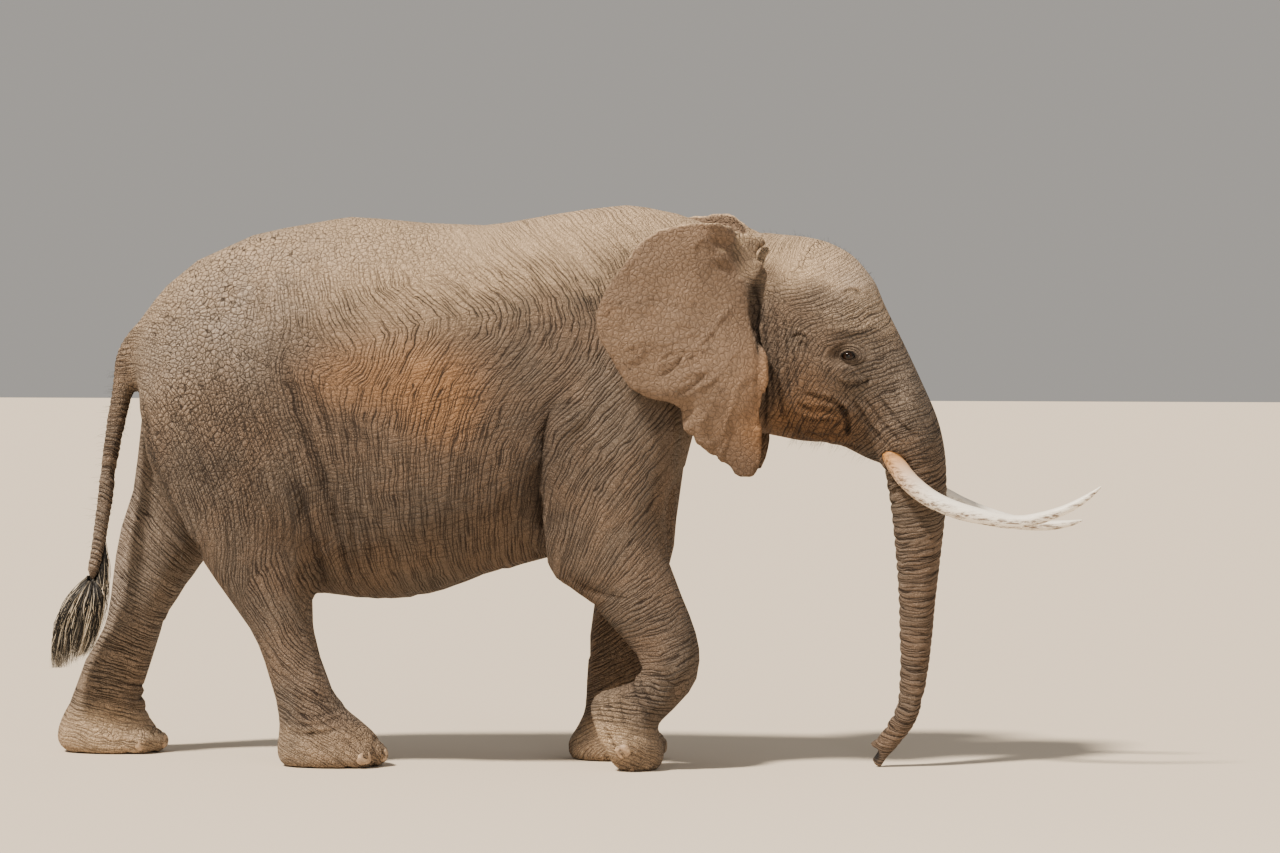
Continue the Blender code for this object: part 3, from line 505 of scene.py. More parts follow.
@dataclass
class Lie:
    """The two families of lines on the whole animal, blended from side to side at the midline."""

    seam: float = 0.12
    right: LieField = field(init=False)
    left: LieField = field(init=False)
    cross: LieField = field(init=False)

    def __post_init__(self) -> None:
        """Solve the three fields."""
        self.right = LieField(BODY_LINES + RIGHT_LEG_LINES)
        self.left = LieField(BODY_LINES + LEFT_LEG_LINES)
        self.cross = LieField(CROSS_LINES)
        middle = np.array([-0.7, 0.0]), np.array([1.5, 2.0])
        self.left.height += (self.right.at(*middle) - self.left.at(*middle)).mean()

    def main(self, points: Array) -> Array:
        """Metres across the main lines, from the right side's field to the left side's.

        Args:
            points: Plan coordinates.

        Returns:
            Metres, one for each point.
        """
        share = step(points[:, 1], -self.seam, self.seam)
        x, z = points[:, 0], points[:, 2]
        return self.right.at(x, z) * (1 - share) + self.left.at(x, z) * share

    def second(self, points: Array) -> Array:
        """Metres across the second family's lines."""
        return self.cross.at(points[:, 0], points[:, 2])


# ---------------------------------------------------------------- materials
class Kind(Enum):
    """The kinds of node in use: type, settings, inputs in the order given, and the output."""

    PLACE = ("TexCoord", {}, (), "Object")          # a point's own place in metres
    STORED = ("Attribute", {}, (), "Vector")        # what the mesh stores under a name
    SPLIT = ("SeparateXYZ", {}, (0,), None)         # None: all three outputs
    JOIN = ("CombineXYZ", {}, (0, 1, 2), 0)
    PLUS = ("Math", {"operation": "ADD"}, (0, 1), 0)
    MINUS = ("Math", {"operation": "SUBTRACT"}, (0, 1), 0)
    TIMES = ("Math", {"operation": "MULTIPLY"}, (0, 1), 0)
    POWER = ("Math", {"operation": "POWER"}, (0, 1), 0)
    LEAST = ("Math", {"operation": "MINIMUM"}, (0, 1), 0)
    MOST = ("Math", {"operation": "MAXIMUM"}, (0, 1), 0)
    WAVE = ("Math", {"operation": "PINGPONG"}, (0, 1), 0)
    SHIFT = ("VectorMath", {"operation": "ADD"}, (0, 1), 0)
    SHIFT_BACK = ("VectorMath", {"operation": "SUBTRACT"}, (0, 1), 0)
    STRETCH = ("VectorMath", {"operation": "MULTIPLY"}, (0, 1), 0)
    SCALE = ("VectorMath", {"operation": "SCALE"}, (0, "Scale"), 0)
    NOISE = ("TexNoise", {}, ("Vector", "Scale", "Detail", "Roughness"), 0)
    THREE_NOISES = ("TexNoise", {}, ("Vector", "Scale", "Detail"), 1)
    CELLS = ("TexVoronoi", {"feature": "DISTANCE_TO_EDGE"}, ("Vector", "Scale"), 0)
    RAMP = ("MapRange", {"interpolation_type": "SMOOTHSTEP"},
            ("Value", "From Min", "From Max", "To Min", "To Max"), 0)
    BLEND = ("Mix", {"data_type": "RGBA"}, (0, 6, 7), 2)
    BUMP = ("Bump", {}, ("Strength", "Distance", "Height"), 0)


class Nodes:
    """A material's node tree, filled one node at a time."""

    def __init__(self, name: str) -> None:
        """Start a material with an empty Principled shader.

        Args:
            name: The material's name.
        """
        self.material = bpy.data.materials.new(name)
        self.material.use_nodes = True
        self.tree = self.material.node_tree
        self.shader = self.tree.nodes["Principled BSDF"]

    def add(self, kind: Kind, *inputs: object, **settings: object) -> object:
        """Add a node with its settings and links.

        Args:
            kind: The kind of node.
            inputs: A value or a socket for each of the kind's inputs, in order.
            settings: More of the node's properties.

        Returns:
            The output's socket, or all of them where the kind says so.
        """
        node_type, usual, sockets, output = kind.value
        node = self.tree.nodes.new("ShaderNode" + node_type)
        for name, value in (usual | settings).items():
            setattr(node, name, value)
        for socket, value in zip(sockets, inputs):
            self.put(node.inputs[socket], value)
        return node.outputs[:] if output is None else node.outputs[output]

    def put(self, socket: bpy.types.NodeSocket, value: object) -> None:
        """Link a socket to another, or set its own value.

        Args:
            socket: The input.
            value: A socket or a value.
        """
        if isinstance(value, bpy.types.NodeSocket):
            self.tree.links.new(value, socket)
        else:
            socket.default_value = value

    def finish(self, colour: object, roughness: object, **plain: object) -> Material:
        """Set the shader's inputs.

        Args:
            colour: The base colour, a value or a socket.
            roughness: The roughness, a value or a socket.
            plain: Other inputs by name, with _ for a space.

        Returns:
            The material.
        """
        self.put(self.shader.inputs["Base Color"], colour)
        self.put(self.shader.inputs["Roughness"], roughness)
        for name, value in plain.items():
            self.put(self.shader.inputs[name.replace("_", " ")], value)
        return self.material


@dataclass(frozen=True)
class ElephantHide:
    """Dry elephant hide: matt, cracked into cells, dusted with pale earth on top.

    The attributes read are lie (metres across the main lines, metres across the second, share of
    smooth skin), net (strength of main lines, second lines and cells), tint (dust, ochre, depth
    in a fold, which sets painted shade in folds, creases and round the eyes) and shade (cool
    dust with painted light on the far hind shank, painted shade, wet skin). Wrinkle lines and
    grain cracks are darkened as painted shade too. Lengths are in metres. Real wrinkles are 5 to
    15 mm apart, and the grain's cells 2 to 3 mm across: the grain is drawn coarser, so that it
    shows.
    """

    bare: str = "8f7762"
    grey: str = "807061"
    dust: str = "f3d2ac"
    ochre: str = "b98a60"
    pale: str = "cdbbaa"            # cool dust of dried mud, and painted light on the far hind shank
    painted_shade: str = "3b2a1e"             # painted shade in hollows, under the jaw and ears, over the eyes and between the legs
    wet: str = "100b0d"             # inside of the trunk's tip
    # Painted shade: the colour that wrinkle lines, grain cracks, folds, creases and the eyes'
    # surroundings are darkened towards.
    crease: str = "2a1e16"
    main_width: float = 0.0145      # between main wrinkles
    main_length: float = 0.210      # that one runs
    main_wander: float = 0.030      # that noise moves it
    cross_width: float = 0.020
    cross_length: float = 0.120
    cross_wander: float = 0.050
    cross_share: float = 0.70
    net_size: float = 0.024         # across a cell of the net
    net_wander: float = 0.030
    grain_size: float = 0.0075
    blotch_size: float = 0.3125
    patch_size: float = 1 / 7       # of strong and weak wrinkles
    wander_size: float = 1 / 9
    powder_size: float = 1 / 18     # of the dust's mottling
    mud_size: float = 1 / 11
    grit_size: float = 0.00625
    sets: tuple = ((0.0, 1.0), (4.0, 1.35))     # each set's place in the noise, and its width
    bend: float = 1.9               # how far a wrinkle bends, in wrinkles
    spread: float = 0.6             # how fast that changes from wrinkle to wrinkle
    gate: tuple[float, float] = (0.36, 0.50)    # noise where a wrinkle is gone, and whole
    reaches: tuple = (0.21, 0.17, 0.12)         # of a line's painted shade: main, second and cells
    soft: float = 0.55              # roughness of the noises
    roughness: float = 0.80
    relief: float = 0.026           # from ridge to crease

    def lines(self, n: Nodes, across: object, along: object, width: float,
              length: float) -> object:
        """Distance to the nearest of two crossing sets of long creases, in creases.

        Each set is a row of even waves, bent by noise that is stretched along the lines, and
        each crease fades out and in again where a second noise is low.

        Args:
            n: The material's nodes.
            across: Metres across the family's lines.
            along: Metres along them.
            width: Metres between creases.
            length: Metres that a crease runs.

        Returns:
            The distance.
        """
        away = 0.5
        for turn, wide in self.sets:
            flat = n.add(Kind.JOIN, n.add(Kind.TIMES, across, self.spread / (wide * width)),
                         n.add(Kind.TIMES, along, 1 / length), turn)
            sway = n.add(Kind.MINUS, n.add(Kind.NOISE, flat, 1.0, 1.0, self.soft), 0.5)
            row = n.add(Kind.TIMES, across, 1 / (wide * width))
            row = n.add(Kind.PLUS, row, n.add(Kind.TIMES, sway, self.bend))
            gap = n.add(Kind.WAVE, row, 0.5)
            other = n.add(Kind.SHIFT, flat, (9.0, 5.0, 2.0))
            gone = n.add(Kind.RAMP, n.add(Kind.NOISE, other, 1.0, 1.0, self.soft), *self.gate,
                         0.35, 0.0)
            away = n.add(Kind.LEAST, away, n.add(Kind.PLUS, gap, gone))
        return away

    def make(self) -> Material:
        """Build the material.

        Returns:
            The hide's material.
        """
        n = Nodes("elephant_hide_dry_dusted")
        raw = n.add(Kind.PLACE)
        (main, second, smooth), (m_main, m_cross, m_net), (dust, ochre, depth), (cool, painted_shade, wet) = (
            n.add(Kind.SPLIT, n.add(Kind.STORED, attribute_name=name))
            for name in ("lie", "net", "tint", "shade"))
        sway = n.add(Kind.THREE_NOISES, raw, 1 / self.wander_size, 2.0)
        sway = n.add(Kind.SHIFT_BACK, sway, (0.5, 0.5, 0.5))
        place = n.add(Kind.SHIFT, raw, n.add(Kind.SCALE, sway, self.net_wander))
        aside = n.add(Kind.SHIFT, raw, (7.0, 3.0, 5.0))
        wobble, other_wobble = (
            n.add(Kind.MINUS, n.add(Kind.NOISE, spot, 1 / self.wander_size, 4.0, self.soft), 0.5)
            for spot in (raw, aside))
        main = n.add(Kind.PLUS, main, n.add(Kind.TIMES, wobble, self.main_wander))
        second = n.add(Kind.PLUS, second, n.add(Kind.TIMES, other_wobble, self.cross_wander))
        first = self.lines(n, main, second, self.main_width, self.main_length)
        other = self.lines(n, second, main, self.cross_width, self.cross_length)
        cells = n.add(Kind.CELLS, place, 1 / self.net_size)
        grain = n.add(Kind.CELLS, raw, 1 / self.grain_size)
        patchy = n.add(Kind.RAMP, n.add(Kind.NOISE, raw, 1 / self.patch_size, 2.0, self.soft),
                       0.30, 0.62, 0.60, 1.0)
        m_main = n.add(Kind.TIMES, m_main, patchy)
        m_cross = n.add(Kind.TIMES, m_cross, self.cross_share)
        cut, high = 0.0, 0.0
        for away, share, reach in zip((first, other, cells), (m_main, m_cross, m_net),
                                      self.reaches):
            line = n.add(Kind.POWER, n.add(Kind.RAMP, away, 0.0, reach, 1.0, 0.0), 1.5)
            cut = n.add(Kind.MOST, cut, n.add(Kind.TIMES, line, share))
            rise = n.add(Kind.LEAST, n.add(Kind.TIMES, away, 2.2), 1.0)
            dome = n.add(Kind.TIMES, rise, n.add(Kind.MINUS, 2.0, rise))
            high = n.add(Kind.PLUS, high, n.add(Kind.TIMES, dome, share))
        fine = n.add(Kind.TIMES, n.add(Kind.RAMP, grain, 0.0, 0.30, 1.0, 0.0),
                     n.add(Kind.MINUS, 1.0, smooth))
        high = n.add(Kind.MINUS, n.add(Kind.TIMES, high, 0.55), n.add(Kind.TIMES, fine, 0.20))
        grit = n.add(Kind.NOISE, raw, 1 / self.grit_size, 2.0, self.soft)
        high = n.add(Kind.PLUS, high, n.add(Kind.TIMES, grit, 0.12))

        blotch = n.add(Kind.NOISE, raw, 1 / self.blotch_size, 4.0, 0.6)
        stain = n.add(Kind.PLUS, ochre, n.add(Kind.TIMES, n.add(Kind.MINUS, blotch, 0.5), 0.5))
        stain = n.add(Kind.TIMES, n.add(Kind.RAMP, stain, 0.15, 0.85),
                      n.add(Kind.RAMP, ochre, 0.0, 0.2))
        powder = n.add(Kind.NOISE, raw, 1 / self.powder_size, 4.0, self.soft)
        powder = n.add(Kind.TIMES, n.add(Kind.MINUS, powder, 0.5), 0.35)
        powder = n.add(Kind.RAMP, n.add(Kind.PLUS, dust, powder), 0.1, 1.1)
        # Pale mottling of dried mud, which on the far hind shank is painted light.
        mud_and_painted_light = n.add(Kind.NOISE, raw, 1 / self.mud_size, 4.0, self.soft)
        mud_and_painted_light = n.add(Kind.TIMES, cool, n.add(Kind.RAMP, mud_and_painted_light, 0.30, 0.65, 0.55, 1.0))
        # Painted shade: wrinkle lines, grain cracks, folds, creases and the eyes' surroundings,
        # darkened towards the crease colour.
        dark = n.add(Kind.PLUS, n.add(Kind.TIMES, cut, 0.88), n.add(Kind.TIMES, depth, 0.62))
        dark = n.add(Kind.PLUS, dark, n.add(Kind.TIMES, fine, 0.32))
        colour = linear(self.bare)
        for share, over in ((n.add(Kind.RAMP, blotch, 0.35, 0.65), self.grey),
                            (stain, self.ochre), (n.add(Kind.TIMES, powder, 0.95), self.dust),
                            (mud_and_painted_light, self.pale), (n.add(Kind.TIMES, painted_shade, 0.85), self.painted_shade),
                            (n.add(Kind.LEAST, dark, 0.94), self.crease), (wet, self.wet)):
            colour = n.add(Kind.BLEND, share, colour, linear(over))
        rough = n.add(Kind.PLUS, self.roughness, n.add(Kind.TIMES, cut, 0.1))
        rough = n.add(Kind.MINUS, rough, n.add(Kind.TIMES, wet, 0.25))
        return n.finish(colour, rough, Normal=n.add(Kind.BUMP, 1.0, self.relief, high),
                        Specular_IOR_Level=0.35)


@dataclass(frozen=True)
class Ivory:
    """Tusk ivory, polished by use: a warm white with fine cracks and brown stain."""

    clean: str = "f6eee0"
    root: str = "c48a48"
    stain: str = "5b4028"
    crack: str = "a58a66"
    stain_size: float = 1 / 70      # metres
    crack_size: float = 1 / 210     # metres: real cracks are finer, and wouldn't show
    relief: float = 0.0012
    roughness: float = 0.34

    def make(self) -> Material:
        """Build the material; the attribute wear holds the share along, and how far underneath.

        Returns:
            The tusks' material.
        """
        n = Nodes("tusk_ivory_worn")
        raw = n.add(Kind.PLACE)
        along, under, _ = n.add(Kind.SPLIT, n.add(Kind.STORED, attribute_name="wear"))
        spots = n.add(Kind.NOISE, n.add(Kind.STRETCH, raw, (0.22, 1.0, 1.0)),
                      1 / self.stain_size, 6.0, 0.7)
        share = n.add(Kind.TIMES, n.add(Kind.RAMP, spots, 0.46, 0.60),
                      n.add(Kind.RAMP, under, 0.10, 0.60))
        lines = n.add(Kind.NOISE, n.add(Kind.STRETCH, raw, (0.10, 1.0, 1.0)),
                      1 / self.crack_size, 3.0, 0.55)
        colour = linear(self.clean)
        for share, over in ((n.add(Kind.RAMP, along, 0.05, 0.38, 1.0, 0.0), self.root),
                            (n.add(Kind.TIMES, share, 0.9), self.stain),
                            (n.add(Kind.RAMP, lines, 0.60, 0.75, 0.0, 0.45), self.crack)):
            colour = n.add(Kind.BLEND, share, colour, linear(over))
        return n.finish(colour, n.add(Kind.RAMP, spots, 0.3, 0.8, self.roughness, 0.62),
                        Normal=n.add(Kind.BUMP, 0.5, self.relief, lines), IOR=1.54)


@dataclass(frozen=True)
class Horn:
    """Toenail horn: matt, dusty, paler in mottled patches, with fine growth lines."""

    base: str = "8d745c"
    pale: str = "c3a88a"
    spot_size: float = 1 / 45       # metres
    line_size: float = 1 / 420      # metres between growth lines
    relief: float = 0.002
    roughness: float = 0.62

    def make(self) -> Material:
        """Build the material.

        Returns:
            The nails' material.
        """
        n = Nodes("toenail_horn_dusty")
        raw = n.add(Kind.PLACE)
        spots = n.add(Kind.NOISE, raw, 1 / self.spot_size, 5.0, 0.65)
        rings = n.add(Kind.NOISE, n.add(Kind.STRETCH, raw, (0.15, 0.15, 1.0)),
                      1 / self.line_size, 2.0, 0.55)
        colour = n.add(Kind.BLEND, n.add(Kind.RAMP, spots, 0.35, 0.70), linear(self.base),
                       linear(self.pale))
        bump = n.add(Kind.BUMP, 0.6, self.relief, n.add(Kind.PLUS, rings, spots))
        return n.finish(colour, self.roughness, Normal=bump, IOR=1.54)


@dataclass(frozen=True)
class EyeGlass:
    """A moist eye: near-black brown iris under a clear wet surface."""

    iris: str = "24150b"
    pupil: str = "060403"
    roughness: float = 0.06

    def make(self) -> Material:
        """Build the material; the attribute ball holds the distance from the pupil's middle.

        Returns:
            The eyes' material.
        """
        n = Nodes("eye_wet")
        away, _, _ = n.add(Kind.SPLIT, n.add(Kind.STORED, attribute_name="ball"))
        colour = n.add(Kind.BLEND, n.add(Kind.RAMP, away, 0.22, 0.34), linear(self.pupil),
                       linear(self.iris))
        colour = n.add(Kind.BLEND, n.add(Kind.RAMP, away, 0.62, 0.80), colour,
                       linear(self.pupil))
        return n.finish(colour, self.roughness, IOR=1.376)


@dataclass(frozen=True)
class CoarseHair:
    """Coarse black hair, dusty and sun-bleached at the ends of some strands."""

    root: str = "15100c"
    tip: str = "e6d6bc"
    roughness: float = 0.55

    def make(self) -> Material:
        """Build the material; the attribute strand holds share along, and brightness twice.

        Returns:
            The hair's material.
        """
        n = Nodes("hair_coarse_dusty")
        along, bright, _ = n.add(Kind.SPLIT, n.add(Kind.STORED, attribute_name="strand"))
        share = n.add(Kind.TIMES, n.add(Kind.RAMP, along, 0.0, 0.35, 0.2, 1.0),
                      n.add(Kind.RAMP, bright, 0.08, 0.8))
        colour = n.add(Kind.BLEND, share, linear(self.root), linear(self.tip))
        return n.finish(colour, self.roughness, IOR=1.55)


# Each crease: its line in x and z, depth, half its width, side (0 both), swelling beside it
# (positive on the left of its direction), and how far that reaches. All in metres.
BODY_CREASES = (
    (((-0.060, 1.66), (-0.080, 1.53), (-0.100, 1.37), (-0.122, 1.20), (-0.123, 1.00), (-0.100,
     0.88)), 0.045, 0.020, RIGHT, 0.022, 0.12),
    (((-0.16, 1.60), (-0.17, 1.40), (-0.16, 1.22), (-0.12, 1.00)), 0.040, 0.022, LEFT, 0.02, 0.12),
    (((-1.295, 1.95), (-1.185, 1.64), (-1.093, 1.39), (-1.021, 1.15), (-0.985, 0.93), (-1.003,
     0.74)), 0.026, 0.022, 0.0, 0.0, 0.06),
    (((-1.183, 1.86), (-1.048, 1.55), (-0.967, 1.28), (-0.931, 1.02), (-0.949, 0.78)), 0.014,
     0.018, 0.0, 0.010, 0.07),
    (((-1.10, 1.75), (-0.98, 1.48), (-0.90, 1.22), (-0.87, 1.00), (-0.90, 0.80)), 0.010, 0.014,
     0.0, 0.0, 0.06),
    (((-1.200, 1.33), (-1.145, 1.11), (-1.110, 0.93), (-1.115, 0.74)), 0.026, 0.020, RIGHT, -0.014,
     0.08),
    (((-0.090, 0.93), (0.052, 0.83), (0.164, 0.785), (0.299, 0.765)), 0.010, 0.012, RIGHT, 0.0,
     0.05),
    (((0.115, 0.350), (0.150, 0.260), (0.192, 0.170), (0.238, 0.084), (0.285, 0.025)), 0.008,
     0.007, RIGHT, 0.005, 0.025),
    (((0.165, 0.355), (0.205, 0.262), (0.240, 0.175)), 0.006, 0.007, RIGHT, 0.004, 0.03),
    (((0.215, 0.365), (0.250, 0.280), (0.275, 0.190)), 0.007, 0.008, RIGHT, 0.004, 0.03),
    (((0.265, 0.420), (0.300, 0.350), (0.345, 0.275), (0.400, 0.231)), 0.018, 0.011, RIGHT, 0.010,
     0.04),
    (((0.304, 0.425), (0.377, 0.302), (0.430, 0.262)), 0.014, 0.010, RIGHT, 0.008, 0.035),
    (((0.345, 0.450), (0.405, 0.350), (0.460, 0.305)), 0.012, 0.010, RIGHT, 0.006, 0.03),
    (((0.400, 0.470), (0.450, 0.400), (0.490, 0.370)), 0.008, 0.009, RIGHT, 0.005, 0.03),
    (((-1.290, 0.235), (-1.200, 0.195), (-1.100, 0.200), (-1.000, 0.245)), 0.009, 0.009, RIGHT,
     0.006, 0.03),
    (((-1.285, 0.275), (-1.190, 0.235), (-1.090, 0.240), (-1.010, 0.285)), 0.009, 0.009, RIGHT,
     0.006, 0.03),
    (((-1.280, 0.190), (-1.180, 0.155), (-1.080, 0.160), (-0.985, 0.200)), 0.008, 0.009, RIGHT,
     0.005, 0.03),
    (((-1.230, 0.330), (-1.150, 0.300), (-1.060, 0.320)), 0.006, 0.009, RIGHT, 0.005, 0.03),
    (((-2.130, 0.330), (-2.060, 0.300), (-2.000, 0.310)), 0.012, 0.010, LEFT, 0.006, 0.03),
    (((-2.140, 0.280), (-2.060, 0.245), (-1.990, 0.250)), 0.013, 0.010, LEFT, 0.006, 0.03),
    (((-2.120, 0.230), (-2.050, 0.190), (-1.980, 0.195)), 0.010, 0.010, LEFT, 0.006, 0.03),
    (((0.020, 0.230), (0.120, 0.205), (0.230, 0.235)), 0.009, 0.009, LEFT, 0.006, 0.03),
    (((0.020, 0.280), (0.130, 0.255), (0.230, 0.280)), 0.008, 0.009, LEFT, 0.006, 0.03),
    (((-1.02, 1.62), (-0.90, 1.52), (-0.80, 1.36)), 0.006, 0.012, 0.0, 0.0, 0.04),
    (((-1.925, 1.62), (-1.895, 1.47), (-1.850, 1.30), (-1.760, 1.11), (-1.630, 0.89)), 0.050,
     0.022, RIGHT, 0.020, 0.08),
    (((-1.917, 1.325), (-1.860, 1.18), (-1.790, 1.04), (-1.665, 0.90)), 0.012, 0.012, LEFT, 0.0,
     0.05),
)
HEAD_CREASES = (
    (((0.819, 2.158), (0.823, 2.096), (0.837, 2.025), (0.841, 1.946)), 0.030, 0.012, 0.0, 0.0,
     0.04),
    (((0.810, 2.114), (0.828, 1.990), (0.855, 1.848), (0.873, 1.703), (0.864, 1.570), (0.841,
     1.460)), 0.016, 0.008, 0.0, 0.010, 0.04),
    (((0.846, 2.078), (0.868, 1.946), (0.891, 1.813), (0.900, 1.681), (0.891, 1.548)), 0.012,
     0.008, 0.0, -0.006, 0.03),
    (((0.909, 2.078), (0.927, 1.924), (0.931, 1.769), (0.936, 1.614), (0.962, 1.504)), 0.008,
     0.008, 0.0, 0.004, 0.03),
    (((0.954, 2.034), (0.971, 1.879), (0.976, 1.725), (0.989, 1.614), (1.021, 1.526)), 0.006,
     0.007, 0.0, 0.003, 0.03),
    (((0.998, 1.879), (1.012, 1.747), (1.025, 1.645)), 0.005, 0.006, 0.0, 0.003, 0.025),
    (((0.980, 1.910), (1.016, 1.928), (1.052, 1.915), (1.070, 1.879)), 0.008, 0.006, 0.0, 0.004,
     0.025),
    (((1.016, 1.879), (1.043, 1.893), (1.070, 1.857)), 0.006, 0.005, 0.0, 0.003, 0.02),
    (((1.180, 1.625), (1.212, 1.590), (1.227, 1.545), (1.220, 1.470)), 0.030, 0.011, 0.0, 0.012,
     0.04),
    (((1.034, 1.672), (1.102, 1.654), (1.169, 1.636), (1.205, 1.601)), 0.009, 0.008, 0.0, 0.005,
     0.03),
    (((0.998, 1.628), (1.061, 1.601), (1.133, 1.601), (1.196, 1.583)), 0.010, 0.009, 0.0, 0.006,
     0.03),
    (((0.989, 1.575), (1.061, 1.548), (1.142, 1.548), (1.214, 1.532)), 0.012, 0.009, 0.0, 0.008,
     0.03),
    (((1.016, 1.504), (1.088, 1.486), (1.160, 1.486), (1.223, 1.479)), 0.010, 0.009, 0.0, 0.006,
     0.03),
    (((1.241, 1.658), (1.295, 1.570), (1.358, 1.482), (1.429, 1.415)), 0.006, 0.008, 0.0, 0.004,
     0.03),
    (((1.286, 1.672), (1.349, 1.583), (1.411, 1.504), (1.483, 1.433)), 0.006, 0.007, 0.0, 0.004,
     0.03),
    (((1.340, 1.681), (1.403, 1.601), (1.465, 1.530), (1.537, 1.469)), 0.006, 0.007, 0.0, 0.004,
     0.03),
    (((1.178, 1.734), (1.236, 1.707), (1.295, 1.712), (1.340, 1.742)), 0.006, 0.006, 0.0, 0.005,
     0.03),
    (((1.196, 2.096), (1.227, 2.118), (1.263, 2.114), (1.290, 2.087)), 0.005, 0.006, 0.0, 0.004,
     0.03),
    (((0.945, 1.495), (1.057, 1.456), (1.191, 1.440), (1.304, 1.420)), 0.010, 0.010, 0.0, 0.006,
     0.04),
    (((0.940, 1.560), (0.985, 1.520), (1.040, 1.465)), 0.008, 0.009, 0.0, 0.006, 0.03),
)
# Each bulge or hollow: x and z of its middle, radii, turn in degrees, lift in metres, side.
BULGES = (
    ((-0.19, 1.24), (0.07, 0.26), 4.0, -0.024, RIGHT),
    ((0.06, 1.42), (0.12, 0.30), 4.0, 0.016, RIGHT),
    ((-1.30, 1.85), (0.09, 0.32), 20.0, -0.014, 0.0),
    ((-0.93, 1.80), (0.24, 0.16), -8.0, 0.014, 0.0),
    ((-1.06, 1.12), (0.07, 0.28), -6.0, -0.020, 0.0),
    ((1.235, 1.945), (0.075, 0.022), 0.0, 0.012, 0.0),
    ((1.235, 1.832), (0.080, 0.060), 0.0, -0.006, 0.0),
    ((1.130, 1.475), (0.100, 0.050), 0.0, 0.012, 0.0),
    ((1.120, 1.575), (0.090, 0.040), 0.0, 0.008, 0.0),
    ((1.250, 2.130), (0.080, 0.060), 0.0, 0.010, 0.0),
    ((0.860, 2.270), (0.070, 0.110), 35.0, 0.026, 0.0),
    ((-2.110, 1.820), (0.100, 0.080), -55.0, 0.014, 0.0),
)
EAR_CREASES = (
    (((0.560, 2.392), (0.640, 2.384), (0.725, 2.360), (0.805, 2.305), (0.852, 2.220), (0.868,
     2.120)), -0.020, 0.030, 0.0, 0.0, 0.04),
    (((0.620, 2.325), (0.703, 2.300), (0.768, 2.250), (0.802, 2.175), (0.812, 2.100)), 0.012,
     0.022, 0.0, 0.0, 0.04),
    (((0.800, 2.180), (0.812, 2.060), (0.830, 1.930), (0.850, 1.790), (0.852, 1.640), (0.838,
     1.500)), 0.011, 0.010, 0.0, 0.012, 0.03),
    (((0.770, 2.080), (0.700, 2.010), (0.640, 1.930), (0.580, 1.860), (0.520, 1.830)), -0.009,
     0.011, 0.0, 0.0, 0.03),
    (((0.640, 1.930), (0.560, 1.930), (0.480, 1.900), (0.400, 1.880)), -0.008, 0.009, 0.0, 0.0,
     0.03),
    (((0.780, 1.900), (0.720, 1.800), (0.650, 1.720), (0.560, 1.690)), -0.008, 0.009, 0.0, 0.0,
     0.03),
    (((0.800, 1.780), (0.760, 1.660), (0.720, 1.540), (0.700, 1.440)), -0.009, 0.012, 0.0, 0.0,
     0.03),
    (((0.560, 1.860), (0.500, 1.780), (0.430, 1.740)), 0.009, 0.009, 0.0, 0.004, 0.03),
    (((0.640, 1.760), (0.580, 1.700), (0.500, 1.660)), 0.009, 0.009, 0.0, 0.004, 0.03),
)


# Cooler dust, with painted light on the far hind shank, and painted shade in hollows, under the jaw
# and ears, over the eyes and between the legs: each row the middle in x and z, the radii, and the
# share.
COOL = (
    ((-1.34, 2.17), (0.30, 0.22), 0.45), ((-1.58, 1.97), (0.30, 0.28), 0.70),
    ((-1.86, 1.80), (0.25, 0.30), 0.40), ((-1.18, 0.50), (0.22, 0.35), 0.35),
    # The row at x -1.98 and z 0.78 is painted light on the far hind shank, not dust.
    ((-1.98, 0.78), (0.30, 0.45), 1.15), ((0.43, 0.62), (0.20, 0.25), 0.25),
    ((1.32, 2.14), (0.18, 0.20), 0.75), ((1.48, 1.70), (0.12, 0.25), 0.30),
    ((0.18, 1.55), (0.25, 0.30), 0.15), ((-0.9, 2.30), (0.5, 0.12), 0.20),
)
PAINTED_SHADE = (
    ((-0.55, 1.22), (0.34, 0.25), 0.22), ((-0.10, 1.33), (0.13, 0.36), 0.55),
    ((-1.30, 1.00), (0.20, 0.20), 0.22), ((0.43, 0.66), (0.18, 0.22), 0.30),
    ((1.03, 1.75), (0.12, 0.16), 0.30), ((1.07, 1.48), (0.24, 0.10), 0.70),
    ((-0.60, 0.80), (0.45, 0.08), 0.06), ((-1.84, 1.15), (0.09, 0.35), 0.55),
    ((1.18, 2.06), (0.14, 0.05), 0.28), ((1.22, 1.93), (0.08, 0.05), 0.45),
    ((0.88, 1.95), (0.06, 0.40), 0.25), ((1.51, 0.70), (0.10, 0.40), 0.20),
)
# Painted shade on the ears: on the lobe, under the top ridge and along the front edge. Each row as
# above.
EAR_PAINTED_SHADE = (
    ((0.79, 1.38), (0.16, 0.20), 0.62), ((0.60, 2.26), (0.20, 0.11), 0.26),
    ((0.20, 2.20), (0.14, 0.22), 0.22), ((0.84, 1.75), (0.05, 0.30), 0.18),
    ((0.45, 1.68), (0.25, 0.10), 0.16), ((0.79, 2.12), (0.05, 0.20), 0.35),
)


